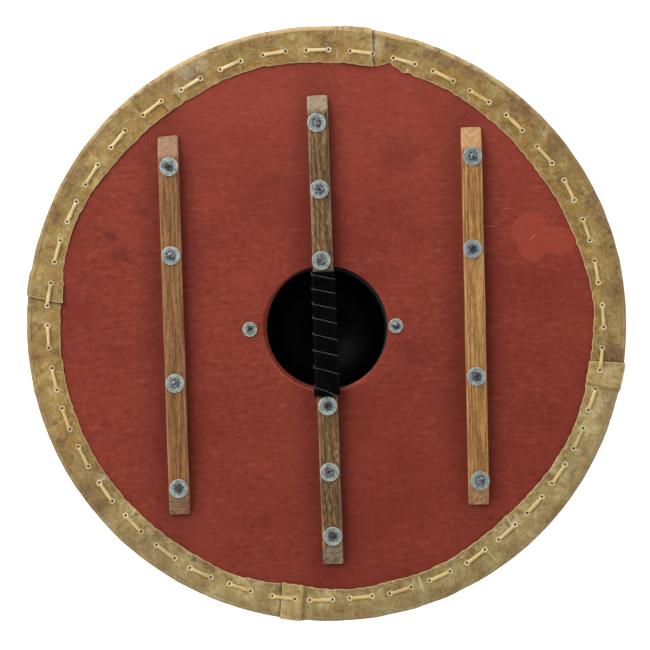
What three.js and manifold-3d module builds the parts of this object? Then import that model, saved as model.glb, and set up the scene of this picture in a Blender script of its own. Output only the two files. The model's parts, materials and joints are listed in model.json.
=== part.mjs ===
// A wooden round shield, 762 mm across, lying face down on the crown of its boss, with
// its grip side up. Millimetres, +Z up. The origin is under the middle of the disc, level
// with the crown of the boss; the grip and the battens run along Y.

import * as THREE from "three";
import { mergeVertices } from "three/addons/utils/BufferGeometryUtils.js";
import Module from "manifold-3d";

// ---- Driving dimensions ----

const GAP = 0.3; // clearance kept between faces that touch

// The disc: a painted board with a round hand hole a little off its middle
const SHIELD_RADIUS = 381; // over the rawhide: a 30 inch shield
const PANEL_THICKNESS = 9;
const PANEL_SIDES = 64;
const HAND_HOLE = { x: -1, y: -6, radius: 79, sides: 36 };

// The boss: a spun steel bowl with a flat flange, and a small flat spot on its crown
const BOSS = { x: -2.5, y: -8.5, mouth: 77, flange: 104, sheet: 1.6 };
const BOSS_DEPTH = 70; // crown to the flange face that lies against the board
const BOSS_NECK = 8; // straight wall between the flange and the dome
const CROWN_FLAT = 18; // radius of the flat spot
const DOME_STEPS = 4;
const BOSS_SIDES = 20;

// The battens, each a bar riveted across the back, bevelled at both ends
const BATTEN = { width: 26, height: 12, chamfer: 2.5 };
const BEVEL = { length: 26, thickness: 4, tip: 3, tipWidth: 21 };
const BATTENS = {
  left: {
    top: [-194.5, 244],
    foot: [-193.5, -237.5],
    rivets: [[-193.5, 204.5], [-194.5, 91.5], [-194, -70.5], [-193.5, -204]],
  },
  centre: {
    top: [-3, 290],
    foot: [-0.5, -306.5],
    rivets: [[-4.5, 254.5], [-3.5, 170], [-4, 79.5], [-1.5, -105], [-1.5, -189], [0, -270.5]],
  },
  right: {
    top: [191.5, 243.5],
    foot: [187, -236.5],
    rivets: [[192, 206], [188.5, 88.5], [188.5, -73.5], [189, -205.5]],
  },
};
const FLANGE_RIVETS = { boss_left: [-97.5, -5], boss_right: [88.5, -6] };

// Rivets and the penny washers under their peened ends
const RIVET = { shank: 2.5, head: 6, headHeight: 3.5, peened: 4, peenedHeight: 2.2, sides: 6 };
const RIVET_HOLE = 3; // radius
const WASHER = { large: 11.75, small: 9.25, thickness: 1.6, sides: 8 };

// The leather strap wound round the grip: its turns lap each other like shingles
const WRAP = { top: 66.5, foot: -92.8, turns: 9, thin: 1.2, thick: 2.2, slope: 0.22, corner: 1.5 };
const WRAP_UNDERSIDE_FOOT = -81.5; // below this the strap only covers the batten's top and sides

// The rim: four rawhide strips folded over the edge, with widths measured along each strip
// from its start. Angles run counterclockwise from +X, in degrees. At each seam the end of
// an upper strip lies over the end of a lower one.
const HIDE = 1.6;
const FOLD_CHAMFER = 1.3;
const LAP = { held: 5.2, ramp: 2, lift: HIDE + GAP, swell: 2.4 }; // where an upper strip stands off
const FRONT_WIDTH = 43; // of the flange on the front of the shield
const RIM_STRIPS = [
  {
    name: "rim_strip_upper_left",
    from: 79.5,
    to: 173.6,
    upper: true,
    widths: [47.5, 47, 46, 44, 43.5, 45.5, 45, 45.5, 42, 38, 37, 39, 44.5],
  },
  {
    name: "rim_strip_lower_left",
    from: 169,
    to: 262.5,
    upper: false,
    widths: [40, 42.5, 41.5, 41, 41, 40.5, 41, 41.5, 42, 42, 39.5, 43, 46.5],
  },
  {
    name: "rim_strip_lower_right",
    from: 259,
    to: 350.4,
    upper: true,
    widths: [47, 43, 40.5, 42.5, 41, 42, 45, 46.5, 43, 40.5, 39, 40.5, 43.5],
  },
  {
    name: "rim_strip_upper_right",
    from: 345.9,
    to: 444.2,
    upper: false,
    widths: [42.5, 41, 39.5, 43.5, 47, 48, 50.5, 49, 48.5, 46.5, 47, 43, 47],
  },
];
const STRIP_STEPS = 12; // lengths of strip between one end and the other

// The lacing: one cord in running stitch, through the back flange, the board and the front
// flange. One stitch crosses each seam, and the rest share out the rim between seams.
const SEAM_STITCHES = [81.3, 172.2, 259.4, 351];
const STITCHES_TO_NEXT_SEAM = [10, 10, 11, 10];
const LACE = { radius: 352, cord: 2.6, hole: 3.2, stitch: 28, tail: 11 };

// ---- Levels, from the crown up ----

const PANEL_FRONT = BOSS_DEPTH + GAP;
const PANEL_BACK = PANEL_FRONT + PANEL_THICKNESS;
const BATTEN_FOOT = PANEL_BACK + GAP;
const BATTEN_TOP = BATTEN_FOOT + BATTEN.height;
const FOLD_RADIUS = SHIELD_RADIUS - HIDE; // inside of the fold round the edge
const PANEL_RADIUS = FOLD_RADIUS - 1.4; // clear of the straight steps of the strips
const BORE_LENGTH = 3 * BATTEN_TOP; // cutters about z = 0 that go through every layer

// ---- Materials ----

const finish = (color, roughness, metalness = 0) =>
  new THREE.MeshStandardMaterial({ color, roughness, metalness });
const redPaint = () => finish(0x8d4033, 0.6);
const rawhide = () => finish(0x9c8050, 0.55);
const lacingCord = () => finish(0xd6bd86, 0.6);
const blackedSteel = () => finish(0x08090c, 0.3, 0.6);
const battenWoods = { left: 0x88603b, centre: 0x6f5539, right: 0xa9804f };
const battenWood = (side) => finish(battenWoods[side], 0.55);
const blackLeather = () => finish(0x0c0c0e, 0.5);
const zinc = () => finish(0x7d8685, 0.4, 0.8);

// ---- Booleans and shape helpers ----

const wasm = await Module();
wasm.setup();
const { Manifold, Mesh: SolidMesh } = wasm;

// A closed geometry as a solid.
function solid(geometry) {
  const bare = geometry.index ? geometry.toNonIndexed() : geometry.clone();
  bare.deleteAttribute("normal");
  bare.deleteAttribute("uv");
  const merged = mergeVertices(bare, 1e-3);
  const triVerts = new Uint32Array(merged.index.array);
  const vertProperties = merged.attributes.position.array;
  return new Manifold(new SolidMesh({ numProp: 3, vertProperties, triVerts }));
}

// A solid as a geometry.
function geometryOf(body) {
  const { numProp, numVert, vertProperties, triVerts } = body.getMesh();
  const positions = new Float32Array(numVert * 3);
  for (let i = 0; i < numVert; i++) {
    positions.set(vertProperties.subarray(i * numProp, i * numProp + 3), i * 3);
  }
  return new THREE.BufferGeometry()
    .setAttribute("position", new THREE.BufferAttribute(positions, 3))
    .setIndex(new THREE.BufferAttribute(triVerts, 1));
}

// Corners of a regular polygon.
function polygon(x, y, radius, sides, turn = 0) {
  return Array.from({ length: sides }, (_, i) => {
    const angle = turn + (i * 2 * Math.PI) / sides;
    return new THREE.Vector2(x + radius * Math.cos(angle), y + radius * Math.sin(angle));
  });
}

// A flat plate with holes, its lower face at z = 0.
function plate(outline, holes, thickness) {
  const shape = new THREE.Shape(outline);
  shape.holes = holes.map((points) => new THREE.Path(points));
  return new THREE.ExtrudeGeometry(shape, { depth: thickness, bevelEnabled: false });
}

// A closed skin over rings of equally many points, with flat ends. `section` is the outline
// of the rings in the plane, from which the ends are filled.
function loft(rings, section) {
  const count = section.length;
  const positions = rings.flat().flatMap((point) => point.toArray());
  const clockwise = THREE.ShapeUtils.isClockWise(section);
  const fill = THREE.ShapeUtils.triangulateShape(section, []).map((triangle) => {
    const turned = THREE.ShapeUtils.isClockWise(triangle.map((i) => section[i]));
    return turned === clockwise ? triangle : [...triangle].reverse();
  });
  const last = (rings.length - 1) * count;
  const faces = fill.flatMap(([a, b, c]) => [a, c, b, last + a, last + b, last + c]);
  for (let ring = 0; ring < last; ring += count) {
    for (let i = 0; i < count; i++) {
      const next = (i + 1) % count;
      faces.push(ring + i, ring + next, ring + count + next);
      faces.push(ring + i, ring + count + next, ring + count + i);
    }
  }
  return facingOut(positions, faces);
}

// A geometry from points and triangles, turned so that its faces point out.
function facingOut(positions, faces) {
  const at = (i) => new THREE.Vector3().fromArray(positions, faces[i] * 3);
  let volume = 0;
  for (let i = 0; i < faces.length; i += 3) {
    volume += at(i).dot(at(i + 1).cross(at(i + 2)));
  }
  return new THREE.BufferGeometry()
    .setAttribute("position", new THREE.Float32BufferAttribute(positions, 3))
    .setIndex(volume < 0 ? [...faces].reverse() : faces);
}

// A turned shape: its profile is given as [radius, height] pairs, and it stands on Z.
function turned(profile, sides) {
  const points = profile.map(([radius, height]) => new THREE.Vector2(radius, height));
  return new THREE.LatheGeometry(points, sides).rotateX(Math.PI / 2);
}

// A point on the disc at an angle in degrees.
function around(degrees, radius, z) {
  const angle = THREE.MathUtils.degToRad(degrees);
  return new THREE.Vector3(radius * Math.cos(angle), radius * Math.sin(angle), z);
}

function mesh(name, geometry, material) {
  const made = new THREE.Mesh(geometry, material);
  made.name = name;
  return made;
}

// ---- Where the fastenings are ----

// The fastening list: each rivet with its washer, and what it passes through.
function fastenings() {
  const onBattens = Object.entries(BATTENS).flatMap(([side, batten]) =>
    batten.rivets.map(([x, y], i) => ({ name: `${side}_${i + 1}`, x, y, seat: BATTEN_TOP })),
  );
  const onPanel = Object.entries(FLANGE_RIVETS).map(([name, [x, y]]) => {
    return { name, x, y, seat: PANEL_BACK };
  });
  return [...onBattens, ...onPanel].map((rivet) => ({
    ...rivet,
    throughBoss: Math.hypot(rivet.x - BOSS.x, rivet.y - BOSS.y) < BOSS.flange,
  }));
}

// The stitches on the back, each as the angles of the two holes that it runs between.
function stitches() {
  const half = THREE.MathUtils.radToDeg(LACE.stitch / 2 / LACE.radius);
  return SEAM_STITCHES.flatMap((seam, i) => {
    const next = SEAM_STITCHES[i + 1] ?? SEAM_STITCHES[0] + 360;
    const count = STITCHES_TO_NEXT_SEAM[i];
    const pitch = (next - seam) / count;
    const middles = Array.from({ length: count }, (_, k) => seam + k * pitch);
    return middles.map((middle) => [middle - half, middle + half]);
  });
}

const FASTENINGS = fastenings();
const STITCHES = stitches();

// Cylinder through everything at a rivet.
function rivetBore({ x, y }) {
  const bore = new THREE.CylinderGeometry(RIVET_HOLE, RIVET_HOLE, BORE_LENGTH, RIVET.sides);
  return solid(bore.rotateX(Math.PI / 2).translate(x, y, 0));
}

const boredFor = (body, rivets) =>
  rivets.reduce((left, rivet) => left.subtract(rivetBore(rivet)), body);

// ---- Pieces ----

// The board: a disc with the hand hole, the rivet holes and the lace holes.
function panel() {
  const rivetTurn = Math.PI / 6; // the flats of hole and shank face each other
  const rivetHoles = FASTENINGS.map(({ x, y }) =>
    polygon(x, y, RIVET_HOLE, RIVET.sides, rivetTurn),
  );
  const laceHoles = STITCHES.flat().map((degrees) => {
    const { x, y } = around(degrees, LACE.radius, 0);
    const turn = THREE.MathUtils.degToRad(degrees) + Math.PI / 4;
    return polygon(x, y, LACE.hole * Math.SQRT1_2, 4, turn);
  });
  const hand = polygon(HAND_HOLE.x, HAND_HOLE.y, HAND_HOLE.radius, HAND_HOLE.sides);
  const disc = polygon(0, 0, PANEL_RADIUS, PANEL_SIDES);
  return plate(disc, [hand, ...rivetHoles, ...laceHoles], PANEL_THICKNESS)
    .translate(0, 0, PANEL_FRONT);
}

// The boss: one sheet of steel, so its profile runs out along the face and back inside.
function boss() {
  const domeTop = BOSS_DEPTH - BOSS_NECK;
  const wall = (radius, crown) => {
    // An ellipse that meets the neck at `domeTop` and the crown flat at height `crown`.
    const flat = CROWN_FLAT / radius;
    const depth = (domeTop - crown) / Math.sqrt(1 - flat * flat);
    const from = Math.asin(flat);
    return Array.from({ length: DOME_STEPS + 1 }, (_, i) => {
      const angle = from + ((Math.PI / 2 - from) * i) / DOME_STEPS;
      return [radius * Math.sin(angle), domeTop - depth * Math.cos(angle)];
    });
  };
  const outside = wall(BOSS.mouth + BOSS.sheet, 0);
  const inside = wall(BOSS.mouth, BOSS.sheet);
  const bowl = turned(
    [
      [0, 0],
      ...outside,
      [BOSS.mouth + BOSS.sheet, BOSS_DEPTH - BOSS.sheet],
      [BOSS.flange, BOSS_DEPTH - BOSS.sheet],
      [BOSS.flange, BOSS_DEPTH],
      [BOSS.mouth, BOSS_DEPTH],
      ...inside.reverse(),
      [0, BOSS.sheet],
    ],
    BOSS_SIDES,
  ).translate(BOSS.x, BOSS.y, 0);
  return geometryOf(boredFor(solid(bowl), FASTENINGS.filter((rivet) => rivet.throughBoss)));
}

// A frame along a batten: turns a distance along it, one across it and a height to a point.
function battenFrame({ top, foot }) {
  const start = new THREE.Vector2(...top);
  const along = new THREE.Vector2(...foot).sub(start);
  const length = along.length();
  along.normalize();
  const place = (distance, across, z) =>
    new THREE.Vector3(
      start.x + along.x * distance - along.y * across,
      start.y + along.y * distance + along.x * across,
      z,
    );
  return { length, place };
}

// A batten: a bar with softened top edges, thinned and narrowed towards both ends.
function batten(side) {
  const { length, place } = battenFrame(BATTENS[side]);
  const section = (width, height) => {
    const half = width / 2;
    const edge = Math.min(BATTEN.chamfer, height / 2);
    return [
      new THREE.Vector2(-half, 0),
      new THREE.Vector2(half, 0),
      new THREE.Vector2(half, height - edge),
      new THREE.Vector2(half - edge, height),
      new THREE.Vector2(edge - half, height),
      new THREE.Vector2(-half, height - edge),
    ];
  };
  const rise = (BEVEL.tip * (BATTEN.height - BEVEL.thickness)) / BEVEL.length;
  const ends = [
    { distance: 0, width: BEVEL.tipWidth, height: BEVEL.thickness },
    { distance: BEVEL.tip, width: BATTEN.width, height: BEVEL.thickness + rise },
    { distance: BEVEL.length, width: BATTEN.width, height: BATTEN.height },
  ];
  const farEnds = ends.map((end) => ({ ...end, distance: length - end.distance })).reverse();
  const rings = [...ends, ...farEnds].map(({ distance, width, height }) =>
    section(width, height).map((point) => place(distance, point.x, BATTEN_FOOT + point.y)),
  );
  const bar = loft(rings, section(BATTEN.width, BATTEN.height));
  const own = FASTENINGS.filter((rivet) => rivet.name.startsWith(side));
  return geometryOf(boredFor(solid(bar), own));
}

// The grip's strap: a sleeve in lapped, sloping turns. Its underside stops at the edge of
// the hand hole, and from there down it only covers the top and the sides of the batten.
function gripWrap() {
  const { place } = battenFrame(BATTENS.centre);
  const start = BATTENS.centre.top[1] - WRAP.top;
  const pitch = (WRAP.top - WRAP.foot) / WRAP.turns;
  const section = (thickness) => {
    const half = BATTEN.width / 2 + GAP + thickness;
    const low = BATTEN_FOOT - GAP - thickness;
    const high = BATTEN_TOP + GAP + thickness;
    const corner = WRAP.corner;
    return [
      new THREE.Vector2(corner - half, low),
      new THREE.Vector2(half - corner, low),
      new THREE.Vector2(half, low + corner),
      new THREE.Vector2(half, high - corner),
      new THREE.Vector2(half - corner, high),
      new THREE.Vector2(corner - half, high),
      new THREE.Vector2(-half, high - corner),
      new THREE.Vector2(-half, low + corner),
    ];
  };
  const ring = (distance, thickness, slope) =>
    section(thickness).map(({ x, y }) => place(distance + slope * x, x, y));
  const rings = Array.from({ length: WRAP.turns }, (_, turn) => {
    const upper = start + turn * pitch;
    const first = turn === 0 ? 0 : WRAP.slope;
    const last = turn === WRAP.turns - 1 ? 0 : WRAP.slope;
    return [ring(upper + GAP, WRAP.thin, first), ring(upper + pitch, WRAP.thick, last)];
  }).flat();
  const sleeve = solid(loft(rings, section(WRAP.thick)));

  const boreWidth = BATTEN.width + 2 * GAP;
  const boreLength = 2 * SHIELD_RADIUS;
  const { top, foot } = BATTENS.centre;
  const lean = Math.atan2(foot[0] - top[0], top[1] - foot[1]);
  const bore = new THREE.BoxGeometry(boreWidth, boreLength, BATTEN.height + 2 * GAP)
    .rotateZ(lean)
    .translate((top[0] + foot[0]) / 2, (top[1] + foot[1]) / 2, (BATTEN_FOOT + BATTEN_TOP) / 2);
  const belowBoard = new THREE.BoxGeometry(SHIELD_RADIUS, SHIELD_RADIUS, 2 * BATTEN_FOOT)
    .translate(0, WRAP_UNDERSIDE_FOOT - SHIELD_RADIUS / 2, 0);
  return geometryOf(sleeve.subtract(solid(bore)).subtract(solid(belowBoard)));
}

// A penny washer: a flat ring, its lower face at z = 0.
function washer(radius) {
  const hole = polygon(0, 0, RIVET_HOLE, RIVET.sides, Math.PI / 6);
  return plate(polygon(0, 0, radius, WASHER.sides), [hole], WASHER.thickness);
}

// A rivet: a domed head in front, a shank, and an end hammered over the washer behind.
function rivet({ x, y, seat, throughBoss }) {
  const head = throughBoss ? BOSS_DEPTH - BOSS.sheet - GAP : PANEL_FRONT - GAP;
  const end = seat + GAP + WASHER.thickness + GAP;
  const profile = [
    [0, head - RIVET.headHeight],
    [RIVET.head * 0.85, head - RIVET.headHeight * 0.65],
    [RIVET.head, head],
    [RIVET.shank, head],
    [RIVET.shank, end],
    [RIVET.peened, end],
    [RIVET.peened * 0.8, end + RIVET.peenedHeight * 0.8],
    [0, end + RIVET.peenedHeight],
  ];
  return turned(profile, RIVET.sides).translate(x, y, 0);
}

// How far an upper strip stands off at an angle: 1 over a lap, 0 away from it.
function standOff(strip, degrees) {
  if (!strip.upper) return 0;
  const fromEnd = Math.min(degrees - strip.from, strip.to - degrees);
  return THREE.MathUtils.clamp((LAP.held + LAP.ramp - fromEnd) / LAP.ramp, 0, 1);
}

// The width of a strip's back flange at an angle, straight between its measured widths.
function backWidth({ from, to, widths }, degrees) {
  const place = ((degrees - from) / (to - from)) * (widths.length - 1);
  const i = Math.min(Math.floor(place), widths.length - 2);
  return THREE.MathUtils.lerp(widths[i], widths[i + 1], place - i);
}

// The angles at which a strip is drawn: even steps, and the bends beside its laps.
function stations({ from, to, upper }) {
  const inset = upper ? LAP.held + LAP.ramp : 0;
  const steps = Array.from({ length: STRIP_STEPS + 1 }, (_, i) =>
    THREE.MathUtils.lerp(from + inset, to - inset, i / STRIP_STEPS),
  );
  return upper ? [from, from + LAP.held, ...steps, to - LAP.held, to] : steps;
}

// A rim strip: a U-shaped section, open inwards, carried round the edge.
function rimStrip(strip) {
  const section = (degrees) => {
    const off = standOff(strip, degrees);
    const back = PANEL_BACK + GAP + off * LAP.lift;
    const front = PANEL_FRONT - GAP - off * LAP.lift;
    const fold = FOLD_RADIUS + off * LAP.swell;
    const edge = fold + HIDE;
    const backEdge = SHIELD_RADIUS - backWidth(strip, degrees);
    const frontEdge = SHIELD_RADIUS - FRONT_WIDTH;
    return [
      new THREE.Vector2(backEdge, back),
      new THREE.Vector2(fold, back),
      new THREE.Vector2(fold, front),
      new THREE.Vector2(frontEdge, front),
      new THREE.Vector2(frontEdge, front - HIDE),
      new THREE.Vector2(edge - FOLD_CHAMFER, front - HIDE),
      new THREE.Vector2(edge, front - HIDE + FOLD_CHAMFER),
      new THREE.Vector2(edge, back + HIDE - FOLD_CHAMFER),
      new THREE.Vector2(edge - FOLD_CHAMFER, back + HIDE),
      new THREE.Vector2(backEdge, back + HIDE),
    ];
  };
  const rings = stations(strip).map((degrees) =>
    section(degrees).map(({ x, y }) => around(degrees, x, y)),
  );
  const folded = solid(loft(rings, section(strip.from)));
  const within = (degrees) => degrees > strip.from && degrees < strip.to;
  const holes = STITCHES.flat().filter((angle) => within(angle) || within(angle + 360));
  return geometryOf(holes.reduce((left, angle) => left.subtract(laceBore(angle)), folded));
}

// A square bore for the lacing, through both flanges.
function laceBore(degrees) {
  const box = new THREE.BoxGeometry(LACE.hole, LACE.hole, BORE_LENGTH)
    .translate(LACE.radius, 0, 0)
    .rotateZ(THREE.MathUtils.degToRad(degrees));
  return solid(box);
}

// 1 where a run of cord between two angles meets the raised part of an upper strip, else 0.
function crossesLap([start, end]) {
  const reach = LAP.held + LAP.ramp;
  const zones = RIM_STRIPS.filter((strip) => strip.upper).flatMap(({ from, to }) => [
    [from, from + reach],
    [to - reach, to],
  ]);
  return zones.some(([low, high]) => start < high && end > low) ? 1 : 0;
}

// The lacing: a cord of square section that dives at the end of each stitch and comes up at
// the start of the next, mitred at each turn. Each ring has the cord's far upper, near
// upper, near lower and far lower corners, in that order along the whole cord.
function rimLacing() {
  const half = LACE.cord / 2;
  const up = new THREE.Vector3(0, 0, 1);
  const ring = (degrees, z, lead) => {
    const middle = around(degrees, LACE.radius, z);
    const out = around(degrees, half, 0);
    const onward = around(degrees + 90, lead * half, 0);
    const rise = up.clone().multiplyScalar(half).add(onward);
    return [
      middle.clone().add(rise).add(out),
      middle.clone().add(rise).sub(out),
      middle.clone().sub(rise).sub(out),
      middle.clone().sub(rise).add(out),
    ];
  };
  const backLevel = (run) => BATTEN_FOOT + HIDE + GAP + half + crossesLap(run) * LAP.lift;
  const frontLevel = (run) =>
    PANEL_FRONT - GAP - HIDE - GAP - half - crossesLap(run) * LAP.lift;

  const tail = THREE.MathUtils.radToDeg(LACE.tail / LACE.radius);
  const firstHole = STITCHES[0][0];
  const lastHole = STITCHES.at(-1)[1];
  const start = [firstHole - tail, firstHole];
  const end = [lastHole, lastHole + tail];
  const rings = [ring(start[0], frontLevel(start), 0)];
  STITCHES.forEach((stitch, i) => {
    const [rises, dives] = stitch;
    const before = i === 0 ? start : [STITCHES[i - 1][1], rises];
    const after = i === STITCHES.length - 1 ? end : [dives, STITCHES[i + 1][0]];
    rings.push(ring(rises, frontLevel(before), -1));
    rings.push(ring(rises, backLevel(stitch), -1));
    rings.push(ring(dives, backLevel(stitch), 1));
    rings.push(ring(dives, frontLevel(after), 1));
  });
  rings.push(ring(end[1], frontLevel(end), 0));
  return loft(rings, polygon(0, 0, half, 4));
}

// ---- The shield ----

const shield = new THREE.Group();
shield.add(mesh("panel", panel(), redPaint()));
shield.add(mesh("boss", boss(), blackedSteel()));

const rim = new THREE.Group();
for (const strip of RIM_STRIPS) {
  rim.add(mesh(strip.name, rimStrip(strip), rawhide()));
}
rim.add(mesh("rim_lacing", rimLacing(), lacingCord()));
shield.add(rim);

for (const side of Object.keys(BATTENS)) {
  shield.add(mesh(`batten_${side}`, batten(side), battenWood(side)));
}
shield.add(mesh("grip_wrap", gripWrap(), blackLeather()));

for (const fastening of FASTENINGS) {
  const size = fastening.seat === PANEL_BACK ? WASHER.small : WASHER.large;
  const ring = mesh(`washer_${fastening.name}`, washer(size), zinc());
  ring.position.set(fastening.x, fastening.y, fastening.seat + GAP);
  shield.add(ring, mesh(`rivet_${fastening.name}`, rivet(fastening), zinc()));
}

export default shield;
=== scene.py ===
# %% [markdown]
# # A wooden round shield, lying on its boss with the grip side up
#
# The shield is a red board with a hand hole, edged with four strips of rawhide that one cord
# laces down. Three battens are riveted across its back, the middle one bound with leather as
# the grip, and a steel boss covers the hole from the front.
#
# The construction model says where everything is. Here each piece gets its real surface: it
# is worked out with numpy as a function of two parameters on a grid, and painted with a
# procedural material. Lengths are in metres, so a dimension in millimetres is times MM.

# %% Load the construction model
import json
import math

import bpy
import numpy as np
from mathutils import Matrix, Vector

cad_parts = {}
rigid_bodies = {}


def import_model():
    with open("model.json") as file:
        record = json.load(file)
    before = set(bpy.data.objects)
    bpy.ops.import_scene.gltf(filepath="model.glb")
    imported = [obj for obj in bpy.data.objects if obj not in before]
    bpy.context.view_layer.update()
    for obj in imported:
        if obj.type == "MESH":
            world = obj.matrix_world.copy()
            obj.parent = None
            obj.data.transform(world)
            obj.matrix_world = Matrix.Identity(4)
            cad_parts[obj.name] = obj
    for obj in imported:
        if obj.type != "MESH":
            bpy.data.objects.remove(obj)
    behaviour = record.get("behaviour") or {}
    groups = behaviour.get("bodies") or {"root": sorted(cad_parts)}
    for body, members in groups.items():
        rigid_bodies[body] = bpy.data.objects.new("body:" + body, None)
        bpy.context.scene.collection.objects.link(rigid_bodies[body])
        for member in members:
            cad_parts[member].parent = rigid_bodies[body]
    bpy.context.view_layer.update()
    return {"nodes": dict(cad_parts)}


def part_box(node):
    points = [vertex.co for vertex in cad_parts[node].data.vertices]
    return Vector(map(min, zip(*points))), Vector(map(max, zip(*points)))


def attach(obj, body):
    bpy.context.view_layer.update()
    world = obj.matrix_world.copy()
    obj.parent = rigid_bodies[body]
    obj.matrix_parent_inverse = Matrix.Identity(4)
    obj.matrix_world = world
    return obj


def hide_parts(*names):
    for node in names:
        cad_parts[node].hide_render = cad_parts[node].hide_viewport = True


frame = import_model()
MM = 0.001
BODY = "root"  # nothing on a shield moves, so every piece rides on one body

# %% [markdown]
# ## Levels and sizes taken from the construction model
#
# The stack is: boss, board, battens, washers. Its levels come from the boxes of the nodes, so
# that a change of thickness in the construction model carries through to here.

# %% Levels
BOARD_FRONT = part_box("panel")[0].z
BOARD_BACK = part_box("panel")[1].z
BATTEN_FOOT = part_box("batten_left")[0].z
BATTEN_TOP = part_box("batten_left")[1].z
HIDE_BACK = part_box("rim_strip_lower_left")[1].z  # outer face of the rawhide, grip side
HIDE_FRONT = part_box("rim_strip_lower_left")[0].z
BOSS_LOW, BOSS_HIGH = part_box("boss")
GAP = 0.3 * MM  # between faces that touch
print(f"board {BOARD_FRONT:.4f} to {BOARD_BACK:.4f}, battens to {BATTEN_TOP:.4f}")


# %% [markdown]
# ## Helpers for surfaces
#
# A surface is an array of points, rows by columns. Quads join neighbours, and a side that
# closes on itself wraps round. Making the faces as arrays keeps every piece quick to build.


# %% Grids to meshes
def grid_faces(rows, columns, wrap_rows=False, wrap_columns=False):
    """Quads between neighbours of a rows x columns grid; a wrapped side closes on itself."""
    r = np.arange(rows if wrap_rows else rows - 1)
    c = np.arange(columns if wrap_columns else columns - 1)
    r, c = (a.ravel() for a in np.meshgrid(r, c, indexing="ij"))
    r_next, c_next = (r + 1) % rows, (c + 1) % columns
    corners = [(r, c), (r, c_next), (r_next, c_next), (r_next, c)]
    return np.stack([row * columns + column for row, column in corners], -1)


def make_piece(name, points, faces, material, marks=None, sharp=None):
    """A mesh object from points and faces, with `marks` as attributes of its vertices, that
    stands for the construction node of its name. Edges bent more than `sharp` stay crisp."""
    mesh = bpy.data.meshes.new(name)
    mesh.from_pydata(np.asarray(points).reshape(-1, 3).tolist(), [], [list(f) for f in faces])
    mesh.update()
    mesh.polygons.foreach_set("use_smooth", np.ones(len(mesh.polygons), bool))
    if sharp is not None:
        mesh.set_sharp_from_angle(angle=math.radians(sharp))
    for key, values in (marks or {}).items():
        attribute = mesh.attributes.new(key, "FLOAT", "POINT")
        attribute.data.foreach_set("value", np.asarray(values, np.float32).ravel())
    mesh.materials.append(material)
    piece = bpy.data.objects.new(name + ".look", mesh)
    bpy.context.scene.collection.objects.link(piece)
    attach(piece, BODY)
    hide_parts(name)
    return piece


def tube_faces(rows, columns):
    """Faces of a closed skin: rings of `columns` points, with a filled ring at each end."""
    ends = [np.arange(columns)[::-1], (rows - 1) * columns + np.arange(columns)]
    return [*grid_faces(rows, columns, wrap_columns=True).tolist(), *(e.tolist() for e in ends)]


def slab_faces(rows, columns):
    """Faces of a sheet with thickness: an outer grid, an inner grid of the same shape after
    it, and quads that join the two round their border."""
    outer = grid_faces(rows, columns)
    inner = outer[:, ::-1] + rows * columns
    index = np.arange(rows * columns).reshape(rows, columns)
    border = [index[0, ::-1], index[:, 0], index[-1], index[::-1, -1]]
    sides = [
        np.stack([line[:-1], line[1:], line[1:] + rows * columns, line[:-1] + rows * columns], -1)
        for line in border
    ]
    return np.concatenate([outer, inner, *sides])


def make_sheet(name, outer, inner, marks, material, slot):
    """A piece from the outer and inner face of a sheet, with the same marks on both."""
    doubled = {key: np.stack([value, value]) for key, value in marks.items()}
    faces = slab_faces(*outer.shape[:2])
    return make_piece(name, np.stack([outer, inner]), faces, material, doubled, sharp=50)


# %% [markdown]
# Nothing on a handmade shield is perfectly even. Sums of sine waves with seeded phases give
# the same small irregularities on every run, along a line or over a surface.


# %% Irregularity
def wander(turn, seed, size, waves):
    """A closed line's irregularity: over `turn`, in radians, the sum of sines that go round
    `waves` times each, with random phases, scaled so that its usual size is `size`."""
    phases = np.random.default_rng(seed).uniform(0, 2 * math.pi, len(waves))
    total = sum(np.sin(n * turn + phase) for n, phase in zip(waves, phases))
    return size * total / math.sqrt(len(waves) / 2)


def rumple(u, v, seed, size, wavelength, count=10):
    """A surface's irregularity: the sum of `count` sine waves across (u, v), in random
    directions and with wavelengths about `wavelength`, of usual size `size`."""
    rng = np.random.default_rng(seed)
    heading, phase = rng.uniform(0, 2 * math.pi, (2, count))
    number = 2 * math.pi / (wavelength * rng.uniform(0.7, 1.6, count))
    waves = [
        np.sin(k * (u * math.cos(a) + v * math.sin(a)) + p)
        for k, a, p in zip(number, heading, phase)
    ]
    return size * sum(waves) / math.sqrt(count / 2)


def smooth(x):
    """Eases from 0 to 1 as x goes from 0 to 1, and stays there."""
    x = np.clip(x, 0, 1)
    return x * x * (3 - 2 * x)


def apart(a, b):
    """How far angle a is ahead of b, in degrees from -180 to 180."""
    return (a - b + 180) % 360 - 180


def toward(degrees, direction, half):
    """1 near `direction` and 0 far from it, by way of one half at 0.8 * `half` degrees."""
    return smooth(1.3 - np.abs(apart(degrees, direction)) / half)


def polar(angle, radius, height):
    """Points on the disc from angles in radians, radii and heights."""
    angle, radius, height = np.broadcast_arrays(angle, radius, height)
    return np.stack([radius * np.cos(angle), radius * np.sin(angle), height], -1)


# %% [markdown]
# ## Helpers for materials
#
# Every finish is a node tree on one Principled shader. The helper keeps the trees short: a
# socket takes either a value or another node's output, and patterns are sized in metres
# along X, Y and Z, so that a grain is as fine as the real one wherever it lies.


# %% A finish under construction
def tone(red, green, blue):
    """A colour given as on a paint card, 0 to 255, in the linear light that shaders use."""
    srgb = np.array([red, green, blue]) / 255
    linear = np.where(srgb <= 0.04045, srgb / 12.92, ((srgb + 0.055) / 1.055) ** 2.4)
    return (*linear.tolist(), 1.0)


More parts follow.
